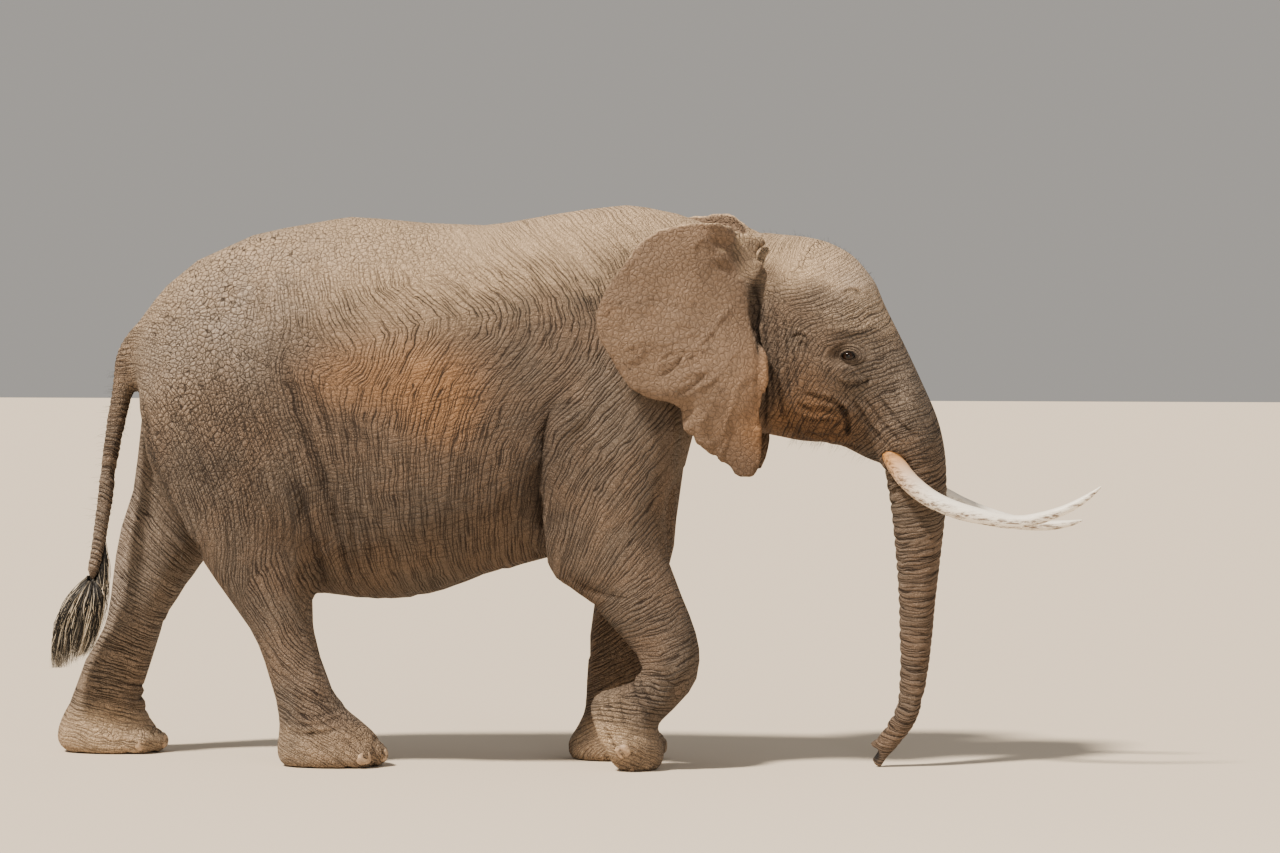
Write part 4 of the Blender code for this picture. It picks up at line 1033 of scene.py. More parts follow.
# ---------------------------------------------------------------- the skin
@dataclass
class Skin:
    """One closed skin over all the flesh.

    Grown copies of the flesh nodes overlap, a voxel remesh makes them one surface, and smoothing
    rounds the facets away. Then come folds and features, all moves along the normal that are
    functions of place, and last a reduction that keeps most faces on head and trunk.
    """

    lie: Lie
    growth: float = 0.0022
    voxel: float = 0.0095
    triangles: int = 196000
    tail_rings: int = 30
    tail_sides: int = 20
    ear_steps: int = 90             # of the turn round an ear
    slope_reach: float = 0.01       # metres over which a family's slope is taken
    item: Piece = field(init=False)

    def flesh(self) -> list[str]:
        """Names of the nodes that the skin covers."""
        apart = ("eye", "tusk", "nail", "tuft")
        return [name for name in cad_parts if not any(word in name for word in apart)]

    def gather(self) -> Piece:
        """Join grown copies of the flesh, and of what sits in its sockets, into one object.

        Returns:
            The object, one closed surface.
        """
        whole = bmesh.new()
        fillers = [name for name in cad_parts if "nail" in name or "eye" in name]
        for name in self.flesh() + fillers:
            bm = bmesh.new()
            bm.from_mesh(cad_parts[name].data)
            bmesh.ops.remove_doubles(bm, verts=bm.verts, dist=0.00002)
            bmesh.ops.recalc_face_normals(bm, faces=bm.faces)
            mesh = bpy.data.meshes.new("part")
            bm.to_mesh(mesh)
            bm.free()
            grow = self.growth if name in self.flesh() else 0.0
            points = read_points(mesh) + read_normals(mesh) * grow
            write_points(mesh, self.tuck(points) if "ear" in name else points)
            whole.from_mesh(mesh)
            bpy.data.meshes.remove(mesh)
        end = self.tail_end()
        whole.from_mesh(end)
        mesh = bpy.data.meshes.new("skin")
        whole.to_mesh(mesh)
        whole.free()
        item = bpy.data.objects.new("skin", mesh)
        bpy.context.scene.collection.objects.link(item)
        modifier = item.modifiers.new("remesh", "REMESH")
        modifier.mode = "VOXEL"
        modifier.voxel_size = self.voxel
        return settle(item)

    def tail_end(self) -> Mesh:
        """The tail's lower end inside the tuft: circles along its path, closed by shrinking.

        Returns:
            Its mesh.
        """
        count = self.tail_rings
        rows = spline(np.array(TAIL_PATH), count)
        turn = np.linspace(0, 2 * np.pi, self.tail_sides, endpoint=False)
        ahead = np.gradient(rows[:, :2], axis=0)
        ahead /= np.linalg.norm(ahead, axis=1)[:, None]
        close = np.sqrt(np.clip(np.minimum(np.arange(count), np.arange(count)[::-1]) / 3, 0, 1))
        radius = (rows[:, 2] * close)[:, None]
        points = np.stack([rows[:, :1] + SHIFT + radius * np.cos(turn) * ahead[:, 1:],
                           radius * np.sin(turn),
                           rows[:, 1:2] - radius * np.cos(turn) * ahead[:, :1]], -1)
        item = new_object("tail_end", points.reshape(-1, 3),
                          grid_faces(count, self.tail_sides, True))
        close_poles(item.data)
        mesh = item.data
        bpy.data.objects.remove(item)
        return mesh

    def tuck(self, points: Array) -> Array:
        """Lay the front top corner of an ear down on the head, so that the two flow together.

        Args:
            points: The ear's vertices.

        Returns:
            The moved vertices.
        """
        x, z = points[:, 0] - SHIFT, points[:, 2]
        limit = np.interp(x, (0.60, 0.72, 0.82, 0.92), (2.460, 2.410, 2.375, 2.325))
        lowered = z - 0.9 * np.maximum(z - limit, 0.0) * step(x, 0.60, 0.72)
        head = np.interp(z, (2.10, 2.20, 2.30, 2.40), (0.285, 0.250, 0.200, 0.150))
        share = step(x, 0.66, 0.88) * step(z, 2.10, 2.26)
        away = np.abs(points[:, 1])
        moved = away - share * np.maximum(away - head - 0.012, 0.0)
        return np.stack([points[:, 0], np.sign(points[:, 1]) * moved, lowered], 1)

    def smooth(self, weights: Array, rounds: int, back: float = -0.40) -> None:
        """Move vertices towards the mean of their neighbours, and part of the way back out.

        Args:
            weights: How strongly each vertex is smoothed, from 0 to 1.
            rounds: Pairs of passes, one inwards and one outwards.
            back: Share of the outward pass, negative, or 0 for none.
        """
        mesh = self.item.data
        ends = np.empty(len(mesh.edges) * 2, dtype=np.int32)
        mesh.edges.foreach_get("vertices", ends)
        a, b = ends[0::2], ends[1::2]
        count = len(mesh.vertices)
        valence = np.bincount(a, minlength=count) + np.bincount(b, minlength=count)
        points = read_points(mesh)
        for share in (0.60, back) * rounds if back else (0.60,) * rounds:
            for k in range(3):
                column = points[:, k].copy()
                total = np.bincount(a, column[b], count) + np.bincount(b, column[a], count)
                points[:, k] = column + weights * share * (total / np.maximum(valence, 1) - column)
        write_points(mesh, points)

    def plan(self) -> Array:
        """Read the skin's vertices.

        Returns:
            Plan coordinates.
        """
        points = read_points(self.item.data)
        points[:, 0] -= SHIFT
        return points

    def push(self, amount: Array) -> None:
        """Move vertices along their normals by amount metres."""
        mesh = self.item.data
        write_points(mesh, read_points(mesh) + read_normals(mesh) * amount[:, None])

    def regions(self, p: Array) -> dict[str, Array]:
        """Soft shares of each vertex in the parts of the body.

        Args:
            p: Plan coordinates.

        Returns:
            Shares from 0 to 1 for trunk, ear, head, tail, legs and feet.
        """
        x, y, z = p.T
        away = np.abs(y)
        trunk = step(x, 1.30, 1.36) * (1 - step(z, 1.25, 1.45))
        sheet = self.ear_share(p)
        head = step(x, 0.75, 0.95) * step(z, 1.15, 1.35) * (1 - sheet)
        tail = step(-x, 2.02, 2.09) * step(z, 0.80, 0.86) * (1 - step(away, 0.08, 0.12))
        legs = (1 - step(z, 0.55, 0.85)) * (1 - step(x, 0.9, 1.1)) * (1 - tail)
        feet = (1 - step(z, 0.14, 0.26)) * legs
        return {"trunk": trunk, "ear": sheet, "head": head, "tail": tail, "legs": legs,
                "feet": feet}

    def ear_share(self, p: Array) -> Array:
        """Share of a vertex that belongs to an ear: the ears' boxes, outside head and body.

        Args:
            p: Plan coordinates.

        Returns:
            Shares from 0 to 1.
        """
        x, y, z = p.T
        away = np.abs(y)
        line = np.interp(z, (1.28, 1.75, 1.95, 2.05, 2.20, 2.45),
                         (0.40, 0.40, 0.36, 0.345, 0.34, 0.33))
        line = line + np.interp(x, (0.1, 0.45, 0.9), (0.13, 0.06, 0.0))
        return step(away, line - 0.012, line + 0.012) * step(x, 0.05, 0.12) * step(z, 1.22, 1.27) \
            * (1 - step(x, 0.90, 0.93))

    def fold(self, p: Array) -> tuple[Array, Array]:
        """Coarse folds along the lie.

        Args:
            p: Plan coordinates.

        Returns:
            Metres outwards, and how deep each vertex lies in a fold from 0 to 1.
        """
        area = self.regions(p)
        main = self.lie.main(p)
        wobble = noise(p * 6.0, 3) - 0.5
        body = 1 - np.maximum.reduce([area["trunk"], area["ear"], area["head"], area["tail"]])
        second = self.lie.second(p)
        drawn = np.stack([(main + wobble * 0.05) / 0.050, (second + wobble * 0.05) / 0.22,
                          p[:, 1] / 0.16], 1)
        vein = 1 - np.sqrt(np.clip(np.abs(noise(drawn, 5) - 0.5) / 0.20, 0, 1))
        strong = 0.25 + 0.75 * np.clip(
            patch(p, (-0.25, 1.35), (0.35, 0.45)) + patch(p, (-1.02, 1.15), (0.22, 0.45), -12)
            + 0.7 * patch(p, (-1.45, 1.35), (0.38, 0.35)) + 0.5 * patch(p, (0.25, 1.30), (0.3, 0.4))
            + 0.6 * patch(p, (-0.05, 1.75), (0.3, 0.3)), 0, 1)
        strong *= (1 - 0.75 * step(p[:, 2], 2.0, 2.25))
        crossed = np.stack([(second + wobble * 0.05) / 0.052, main / 0.18, p[:, 1] / 0.16], 1)
        weft = 1 - np.sqrt(np.clip(np.abs(noise(crossed, 6) - 0.5) / 0.16, 0, 1))
        legs = (1 - step(p[:, 2], 0.75, 0.95)) * (1 - area["feet"])
        strong = np.maximum(strong, 0.45 * legs)
        body_depth = np.maximum(vein * strong, 0.55 * weft * strong) * body
        rings = main / 0.031 + 0.9 * (noise(p * np.array([14.0, 14.0, 5.0]), 9) - 0.5)
        gap = np.abs(rings - np.round(rings))
        ring = bell(gap, 0.17) * (0.45 + 0.55 * noise(p * 22.0, 4))
        upper = step(p[:, 2], 0.05, 0.14)
        trunk_depth = ring * area["trunk"] * upper
        stack = np.sqrt(np.abs(np.sin(np.pi * p[:, 2] / 0.052 + 2 * noise(p * 3.0, 61))))
        rear = step(-read_normals(self.item.data)[:, 0], 0.1, 0.8)
        bulge = 0.009 * (stack - 0.6) * rear * area["trunk"] * upper
        tail_rings = main / 0.026 + 1.2 * (noise(p * 16.0, 19) - 0.5)
        tail_depth = bell(np.abs(tail_rings - np.round(tail_rings)), 0.18) * area["tail"]
        out = bulge - 0.0135 * body_depth - 0.0060 * trunk_depth - 0.0036 * tail_depth
        # The depth darkens the hide's colour in the folds and in the trunk's and tail's rings, as
        # painted shade.
        depth = np.clip(0.34 * body_depth + 0.60 * trunk_depth + 0.5 * tail_depth, 0, 1)
        return out, depth

    def crease(self, p: Array, line: tuple, depth: float, width: float, side: float = 0.0,
               swell: float = 0.0, reach: float = 0.06) -> tuple[Array, Array]:
        """A crease along a line of the side view, with a swelling beside it.

        Args:
            p: Plan coordinates.
            line: Its points, x and z.
            depth: How deep it is, in metres.
            width: Half its width, in metres.
            side: Sign of Y of the side that has it, or 0 for both.
            swell: How far the skin beside it stands out, in metres: positive on the left of the
                line's direction, negative on its right.
            reach: How far the swelling reaches.

        Returns:
            Metres outwards from the crease itself, and from the swelling.
        """
        way = spline(np.array(line, dtype=float), 6 * len(line))
        out = np.zeros(len(p))
        margin = 0.25
        near = np.nonzero((p[:, 0] > way[:, 0].min() - margin) & (p[:, 0] < way[:, 0].max() + margin)
                          & (p[:, 2] > way[:, 1].min() - margin)
                          & (p[:, 2] < way[:, 1].max() + margin))[0]
        if side:
            near = near[p[near, 1] * side > 0]
        q = p[near]
        wander = 0.004 + 0.35 * width
        sway = np.stack([noise(q * 16.0, 41) + 0.5 * noise(q * 45.0, 42) - 0.75,
                         noise(q * 16.0, 43) + 0.5 * noise(q * 45.0, 44) - 0.75], 1)
        gap, along, hand = to_line(q[:, [0, 2]] + wander * sway, way)
        fade = step(along, 0.0, 0.22) * (1 - step(along, 0.78, 1.0))
        fade = fade * (0.55 + 0.75 * noise(q * 22.0, 45))
        cut = -depth * bell(gap, width) * fade
        lift = abs(swell) * bell(gap - reach / 2, reach / 2) * (hand == np.sign(swell)) * fade
        out[near] = cut
        raised = np.zeros(len(p))
        raised[near] = lift * step(gap, 0.0, width)
        return out, raised

    def features(self, p: Array) -> tuple[Array, Array]:
        """Folds that every elephant has at a joint or a bulge.

        Args:
            p: Plan coordinates.

        Returns:
            Metres outwards, and the painted shade of each vertex's crease from 0 to 1.
        """
        out = np.zeros(len(p))
        dark = np.zeros(len(p))
        for line, depth, width, side, swell, reach in BODY_CREASES + HEAD_CREASES:
            cut, lift = self.crease(p, line, depth, width, side, swell, reach)
            out += cut + lift
            # How dark the crease is painted: painted shade along each crease.
            dark = np.maximum(dark, np.clip(-cut / min(depth, 0.012), 0, 1) * (depth > 0))
        for middle, radii, turn, lift, side in BULGES:
            share = patch(p, middle, radii, turn)
            out += lift * (share if side == 0 else share * (p[:, 1] * side > 0))
        return out, dark

    def refine(self, chosen: Array, cuts: int) -> None:
        """Split the edges between chosen vertices, so that small features find enough points.

        Args:
            chosen: True for each vertex of the area.
            cuts: Cuts on each edge.
        """
        mesh = self.item.data
        ends = np.empty(len(mesh.edges) * 2, dtype=np.int32)
        mesh.edges.foreach_get("vertices", ends)
        mesh.edges.foreach_set("select", chosen[ends[0::2]] & chosen[ends[1::2]])
        bm = bmesh.new()
        bm.from_mesh(mesh)
        edges = [edge for edge in bm.edges if edge.select]
        bmesh.ops.subdivide_edges(bm, edges=edges, cuts=cuts, use_grid_fill=True, smooth=0.0)
        bm.to_mesh(mesh)
        bm.free()

    def eye_place(self, side: float) -> Array:
        """Middle of an eye's ball.

        Args:
            side: Sign of Y of the eye's side.

        Returns:
            Plan coordinates, with y as metres from the midline.
        """
        middle = box_middle("eye_right" if side < 0 else "eye_left")
        return np.array([middle[0] - SHIFT, abs(middle[1]) - EYE_SINK, middle[2]])

    def almond(self, p: Array, side: float) -> tuple[Array, Array, Array]:
        """How far vertices lie from an eye's opening.

        Args:
            p: Plan coordinates.
            side: Sign of Y of the eye's side.

        Returns:
            Distance in opening radii (1 on the lids' edge), and metres forward and up.
        """
        middle = self.eye_place(side)
        u, w = p[:, 0] - middle[0], p[:, 2] - middle[2]
        half = np.where(w > 0, EYE_OPENING[1], EYE_OPENING[2])
        away = np.sqrt((u / EYE_OPENING[0]) ** 2 + (w / half) ** 2)
        far = (p[:, 1] * side < 0.1) | (p[:, 0] < 1.0)
        return np.where(far, 9.0, away), u, w

    def lids(self, p: Array) -> Array:
        """Shape the lids: they hug the ball, fold in arcs around it, and sink in the opening.

        Args:
            p: Plan coordinates.

        Returns:
            Moved ones.
        """
        for side in (RIGHT, LEFT):
            away, u, w = self.almond(p, side)
            middle = self.eye_place(side)
            height = np.abs(p[:, 1])
            ball = EYE_RADIUS ** 2 - u ** 2 - w ** 2
            hug = middle[1] + np.sqrt(np.clip(ball + 2 * EYE_RADIUS * 0.0045, 0.00010, None))
            share = 1 - step(away, 1.15, 3.3)
            shaped = height + (np.minimum(hug, height + 0.012) - height) * share
            for place, width, depth in LID_FOLDS:
                one_side = np.where(w > 0, 1.0, 0.7) * step(away, 1.1, 1.3)
                shaped -= depth * bell(away - place, width) * one_side
            shaped += 0.0022 * bell(away - 1.18, 0.16)
            inside = middle[1] + np.sqrt(np.clip(ball, 0.00004, None)) - 0.012
            shaped = np.where(away < 1.0, inside, shaped)
            changed = away < 4.0
            p[changed, 1] = side * shaped[changed]
        return p

    def ears(self, p: Array) -> Array:
        """Give the ears waves, ridges, veins and a worn edge.

        Args:
            p: Plan coordinates.

        Returns:
            Moved ones.
        """
        share = self.ear_share(p)
        chosen = np.nonzero(share > 0.02)[0]
        q, share = p[chosen], share[chosen]
        hand = np.sign(q[:, 1])
        outer = step(read_normals(self.item.data)[chosen, 1] * hand, 0.1, 0.5)
        back, up = 0.84 - q[:, 0], q[:, 2] - 1.92
        reach, angle = np.hypot(back, up), np.arctan2(up, back)
        count = self.ear_steps
        turn = np.clip(((angle + np.pi) / (2 * np.pi) * count).astype(int), 0, count - 1)
        edge = np.zeros(count)
        np.maximum.at(edge, turn, reach)
        edge = np.convolve(np.concatenate([edge[-2:], edge, edge[:2]]), np.ones(5) / 5, "valid")
        turns = (np.arange(count) + 0.5) / count * 2 * np.pi - np.pi
        share_out = reach / np.maximum(np.interp(angle, turns, edge), 0.05)
        polar = np.stack([angle * 2.2, reach * 3.0, hand * 7.0], 1)
        wave = 0.018 * (noise(polar, 31) - 0.5) + 0.016 * (noise(polar * 2.3, 32) - 0.5)
        q[:, 1] += hand * wave * 2.0 * step(reach, 0.15, 0.55) * share
        bend = noise(polar * 3.0, 33) - 0.5
        spokes = np.stack([angle * 7.0 + bend * 1.6, reach * 3.2, hand * 3.0], 1)
        veins = bell(noise(spokes, 34) - 0.5, 0.030)
        creases = bell(noise(spokes * np.array([2.6, 1.4, 1.0]), 35) - 0.5, 0.045)
        lift = 0.0075 * veins * step(reach, 0.08, 0.2) * (1 - step(share_out, 0.8, 1.0))
        lift -= 0.0060 * creases * step(share_out, 0.35, 0.75)
        for line, depth, width, side, swell, near in EAR_CREASES:
            cut, raised = self.crease(q, line, depth, width, side, swell, near)
            lift += cut + raised
        q[:, 1] += hand * lift * outer * share
        worn = 0.020 * step(noise(np.stack([angle * 11.0, hand * 5.0, hand], 1), 36), 0.45, 0.9)
        worn = worn * (0.4 + 0.6 * step(-up, 0.1, 0.3)) * step(back, -0.02, 0.1)
        worn += 0.022 * bell(angle + 1.02, 0.030) * (hand < 0)
        worn += 0.016 * bell(angle + 1.26, 0.022) * (hand < 0)
        pull = worn * step(share_out, 0.80, 1.0) * share
        q[:, 0] += pull * back / np.maximum(reach, 0.05)
        q[:, 2] -= pull * up / np.maximum(reach, 0.05)
        p[chosen] = q
        return p

    def feet(self, p: Array) -> Array:
        """Round the planted feet's edge, and swell the toes around the nails.

        Args:
            p: Plan coordinates.

        Returns:
            Metres outwards.
        """
        planted = self.regions(p)["feet"] * (np.hypot(p[:, 0] - 0.30, p[:, 1] + 0.27) > 0.33)
        out = planted * (0.007 * bell(p[:, 2] - 0.075, 0.045)
                         - 0.007 * (1 - step(p[:, 2], 0.0, 0.035)))
        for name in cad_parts:
            if "_nail_" not in name:
                continue
            middle = box_middle(name) - np.array([SHIFT, 0.0, 0.0])
            away = np.linalg.norm((p - middle) / np.array([1.0, 1.0, 0.9]), axis=1)
            out += 0.006 * bell(away, 0.060) - 0.006 * bell(away - 0.086, 0.012)
            out -= 0.005 * bell(away - 0.043, 0.006)
        return out

    def tip(self, p: Array) -> Array:
        """Part the trunk's tip into two fingers with the dark wet hollow between them.

        Args:
            p: Plan coordinates.

        Returns:
            Moved ones.
        """
        near = (p[:, 0] > 1.25) & (p[:, 2] < 0.20)
        x, z = p[:, 0], p[:, 2]
        middle = 1 - 0.5 * step(np.abs(p[:, 1]), 0.02, 0.045)
        hollow = np.exp(-((x - 1.318) / 0.024) ** 2 - ((z - 0.064) / 0.019) ** 2) * near * middle
        knob = np.exp(-((x - 1.318) / 0.020) ** 2 - ((z - 0.112) / 0.018) ** 2) * near * middle
        moved = p.copy()
        moved[:, 0] += 0.030 * hollow - 0.014 * knob
        moved[:, 2] += 0.010 * hollow - 0.002 * knob
        return moved

    def put_plan(self, p: Array) -> None:
        """Move the vertices, none of them under the floor.

        Args:
            p: Plan coordinates.
        """
        points = p.copy()
        points[:, 0] += SHIFT
        points[:, 2] = np.maximum(points[:, 2], 0.0)
        write_points(self.item.data, points)

    def build(self) -> Piece:
        """Make the skin from the flesh nodes, sculpted, folded and reduced.

        Returns:
            The skin's object.
        """
        self.item = self.gather()
        LOG.info("skin joined: %d vertices", len(self.item.data.vertices))
        area = self.regions(self.plan())
        p = self.plan()
        fine = np.clip(area["trunk"] + area["ear"] + area["tail"] + 0.8 * area["feet"], 0, 1)
        broad = 1 - np.maximum(fine, 0.6 * area["head"])
        self.smooth(broad, 30)
        self.smooth(broad, 40, 0.0)
        root = np.maximum(patch(p, (0.88, 2.30), (0.10, 0.16)), patch(p, (0.87, 1.90), (0.05, 0.4)))
        root = np.maximum(root, 0.9 * patch(p, (-2.05, 1.93), (0.13, 0.13)))
        root = np.maximum(root, 0.6 * patch(p, (-2.13, 1.66), (0.10, 0.12)))
        self.smooth(root, 60)
        self.smooth(np.clip(1 - 0.5 * area["ear"], 0, 1), 8)
        p = self.plan()
        self.push(0.0035 * self.regions(p)["legs"])
        head = self.regions(p)["head"]
        small = (head > 0.3) & (p[:, 2] < 2.2) & (p[:, 2] > 1.38) & (p[:, 0] < 1.5)
        small |= (p[:, 0] > 1.25) & (p[:, 2] < 0.22)
        small |= (p[:, 2] < 0.17) & (p[:, 2] > 0.012)
        self.refine(small, 1)
        p = self.plan()
        eyes = np.minimum(self.almond(p, RIGHT)[0], self.almond(p, LEFT)[0])
        self.refine(eyes < 3.6, 1)
        LOG.info("skin refined: %d vertices", len(self.item.data.vertices))
        p = self.plan()
        self.push(self.features(p)[0] + self.feet(p))
        self.smooth(np.full(len(p), 0.4), 1)
        self.put_plan(self.ears(self.plan()))
        self.put_plan(self.lids(self.plan()))
        p = self.plan()
        out, _ = self.fold(p)
        self.push(out)
        self.put_plan(self.tip(self.plan()))
        LOG.info("skin sculpted")
        self.reduce()
        self.mark()
        return self.item

    def reduce(self) -> None:
        """Collapse edges to the triangle budget, sparing head, trunk, ears and feet."""
        p = self.plan()
        area = self.regions(p)
        keep = np.maximum.reduce([0.85 * area["head"], 0.8 * area["trunk"], 0.5 * area["ear"],
                                  0.5 * area["feet"], 0.6 * area["tail"]])
        eyes = np.minimum(self.almond(p, RIGHT)[0], self.almond(p, LEFT)[0])
        keep = np.maximum(keep, 1 - step(eyes, 2.5, 3.6))
        group = self.item.vertex_groups.new(name="reduce")
        levels = np.round((1 - keep) * 10).astype(int)
        for level in range(1, 11):
            group.add(np.nonzero(levels == level)[0].tolist(), level / 10, "REPLACE")
        modifier = self.item.modifiers.new("reduce", "DECIMATE")
        modifier.ratio = self.triangles / (2 * len(self.item.data.polygons))
        modifier.vertex_group = "reduce"
        modifier.vertex_group_factor = 1.0
        settle(self.item)
        self.item.vertex_groups.clear()
        self.item.data.shade_smooth()
        LOG.info("skin reduced to %d faces", len(self.item.data.polygons))

    def steepness(self, p: Array, across: Callable[[Array], Array]) -> Array:
        """How fast a family's metres change along the skin: 1 where the skin faces the side.

        Args:
            p: Plan coordinates.
            across: The family's metres at points.

        Returns:
            The length of its gradient, less the part along the skin's normal.
        """
        normal = read_normals(self.item.data)
        reach = self.slope_reach
        slope = np.stack([across(p + reach * way) - across(p - reach * way)
                          for way in np.eye(3)], 1) / (2 * reach)
        slope -= (slope * normal).sum(axis=1)[:, None] * normal
        return np.linalg.norm(slope, axis=1)

    def mark(self) -> None:
        """Store the attributes that the hide's material reads."""
        p = self.plan()
        area = self.regions(p)
        x, z = p[:, 0], p[:, 2]
        _, depth = self.fold(p)
        _, dark = self.features(p)
        eyes = np.minimum(self.almond(p, RIGHT)[0], self.almond(p, LEFT)[0])
        # Painted shade: darker in the creases, inside the eye's opening, round the eye and in the
        # lid folds.
        depth = np.maximum(depth, 0.55 * dark * (1 - area["ear"]))
        depth = np.maximum(depth, 1 - step(eyes, 1.15, 1.5))
        wet = np.exp(-((x - 1.328) / 0.030) ** 2 - ((z - 0.054) / 0.034) ** 2) * (x > 1.25)
        wet = step(wet, 0.35, 0.75)
        depth = np.maximum(depth, 0.45 * (1 - step(eyes, 1.7, 3.2)))
        for place, width, _ in LID_FOLDS:
            ring = bell(eyes - place, 0.7 * width) * np.clip(1.6 * noise(p * 32.0, 71) - 0.2, 0, 1)
            depth = np.maximum(depth, 0.85 * ring)
        up = read_normals(self.item.data)[:, 2]
        smooth = np.clip(0.40 * area["ear"], 0, 1)
        top = step(z, 2.0, 2.35)
        rump = patch(p, (-1.70, 1.95), (0.45, 0.50))
        thigh = patch(p, (-1.50, 1.40), (0.40, 0.40))
        face = area["head"] * (1 - step(z, 2.02, 2.16))
        m_main = 1.0 - 0.70 * top * (1 - step(x, -0.7, -0.2)) - 0.55 * rump - 0.35 * area["feet"]
        m_main = m_main * (1 - area["ear"]) * (1 - 0.6 * area["head"] * (1 - face))
        m_main = m_main * (1 - 0.45 * top * step(x, -0.9, -0.4) * (1 - area["head"]))
        m_cross = 0.35 + 0.60 * thigh + 0.50 * patch(p, (-0.45, 1.55), (0.4, 0.4)) \
            + 0.40 * patch(p, (-0.8, 1.0), (0.5, 0.25)) + 0.1 * face
        m_cross = m_cross * (1 - np.maximum(area["ear"], area["tail"])) * (1 - 0.6 * top)
        m_cross = m_cross * (1 - 0.6 * area["trunk"]) * (1 - 0.4 * area["legs"])
        m_net = 0.30 + 0.65 * rump + 0.45 * thigh + 0.35 * top * (x < -0.6) + 0.35 * face \
            + 0.1 * area["legs"]
        m_net = m_net * (1 - 0.8 * area["trunk"]) * (1 - area["ear"]) + 0.40 * area["ear"]
        flat_main = 1 - step(self.steepness(p, self.lie.main), 0.35, 0.75)
        flat_cross = 1 - step(self.steepness(p, self.lie.second), 0.35, 0.75)
        m_main, m_cross = m_main * (1 - flat_main), m_cross * (1 - flat_cross)
        m_net = m_net + 0.5 * flat_main * (1 - area["ear"])
        calm = 1 - 0.75 * (1 - step(eyes, 2.2, 4.2))
        m_main, m_cross, m_net = m_main * calm, m_cross * calm, m_net * calm
        dust = 0.90 * step(up, 0.15, 0.90) * step(z, 1.6, 2.2) + 0.44 * step(z, 1.75, 2.3) \
            + 0.45 * area["feet"] + 0.42 * patch(p, (-1.85, 1.80), (0.45, 0.50)) \
            + 0.55 * patch(p, (1.33, 2.12), (0.20, 0.20)) \
            + 0.42 * patch(p, (-2.2, 0.3), (0.3, 0.5)) \
            + 0.55 * patch(p, (0.18, 0.25), (0.13, 0.16)) - 0.35 * area["ear"] \
            + 0.25 * patch(p, (-0.73, 1.86), (0.40, 0.20)) \
            + 0.12 * patch(p, (-0.5, 1.15), (0.5, 0.2)) \
            - 0.18 * patch(p, (0.35, 2.15), (0.35, 0.30))
        dust = np.clip(dust - 0.30 * patch(p, (1.12, 2.08), (0.16, 0.07), 15), 0, 1)
        ochre = 0.85 * patch(p, (-0.80, 1.76), (0.48, 0.24), 6) + 0.75 * patch(
            p, (-0.50, 1.56), (0.20, 0.20)) + 0.40 * patch(p, (-0.3, 0.90), (0.40, 0.12)) \
            + 1.35 * patch(p, (1.05, 1.49), (0.22, 0.12)) + 0.50 * patch(p, (1.04, 1.72), (0.2, 0.2))
        ochre = np.clip(ochre * 0.8 + 0.30 * area["ear"], 0, 1)
        write_attribute(self.item.data, "lie",
                        np.stack([self.lie.main(p), self.lie.second(p), smooth], 1))
        write_attribute(self.item.data, "net", np.clip(np.stack([m_main, m_cross, m_net], 1), 0, 1))
        write_attribute(self.item.data, "tint", np.stack([dust, ochre, depth], 1))
        # Cool dust, more on skin that faces up; on the far hind shank it is painted light.
        cool = sum(share * patch(p, middle, radii) for middle, radii, share in COOL)
        cool = cool * (0.4 + 0.6 * step(up, -0.4, 0.5)) * (1 - area["ear"])
        # Painted shade: darker in hollows, under the jaw and ears and between the legs, less where
        # the skin faces backwards; on the ears from their own table.
        painted_shade = sum(share * patch(p, middle, radii) for middle, radii, share in PAINTED_SHADE)
        painted_shade = painted_shade * (1 - 0.8 * step(-read_normals(self.item.data)[:, 0], 0.45, 0.80))
        painted_shade = painted_shade * (1 - area["ear"]) + area["ear"] * sum(
            share * patch(p, middle, radii) for middle, radii, share in EAR_PAINTED_SHADE)
        write_attribute(self.item.data, "shade",
                        np.clip(np.stack([cool, painted_shade, wet * (1 - area["legs"])], 1), 0, 1))


# ---------------------------------------------------------------- eyes, tusks, nails and hair
@dataclass
class Eyes:
    """Eyeballs that stand in their sockets, each a sphere with a bulging clear front."""

    radius: float = EYE_RADIUS
    rows: int = 32
    columns: int = 48

    def build(self, side: Side) -> Piece:
        """Make one eye: a sphere whose front bulges by a bell of the angle from its axis.

        Args:
            side: The eye's side.

        Returns:
            The piece.
        """
        middle, sign = box_middle("eye_" + side.value), side.sign
        middle[1] -= sign * EYE_SINK
        polar = np.linspace(0, np.pi, self.rows)[:, None]
        turn = np.linspace(0, 2 * np.pi, self.columns, endpoint=False)[None, :]
        size = self.radius * (1 + 0.07 * bell(polar, 0.55))
        points = np.stack([size * (np.sin(polar) * np.cos(turn)),
                           sign * size * np.cos(polar) + 0 * turn,
                           size * (np.sin(polar) * np.sin(turn))], -1).reshape(-1, 3) + middle
        item = new_object("eyeball_" + side.value, points,
                          grid_faces(self.rows, self.columns, True))
        close_poles(item.data)
        place = read_points(item.data) - middle
        angle = np.arccos(np.clip(sign * place[:, 1] / np.linalg.norm(place, axis=1), -1, 1))
        write_attribute(item.data, "ball", np.stack([angle / 1.1, angle * 0, angle * 0], 1))
        return item


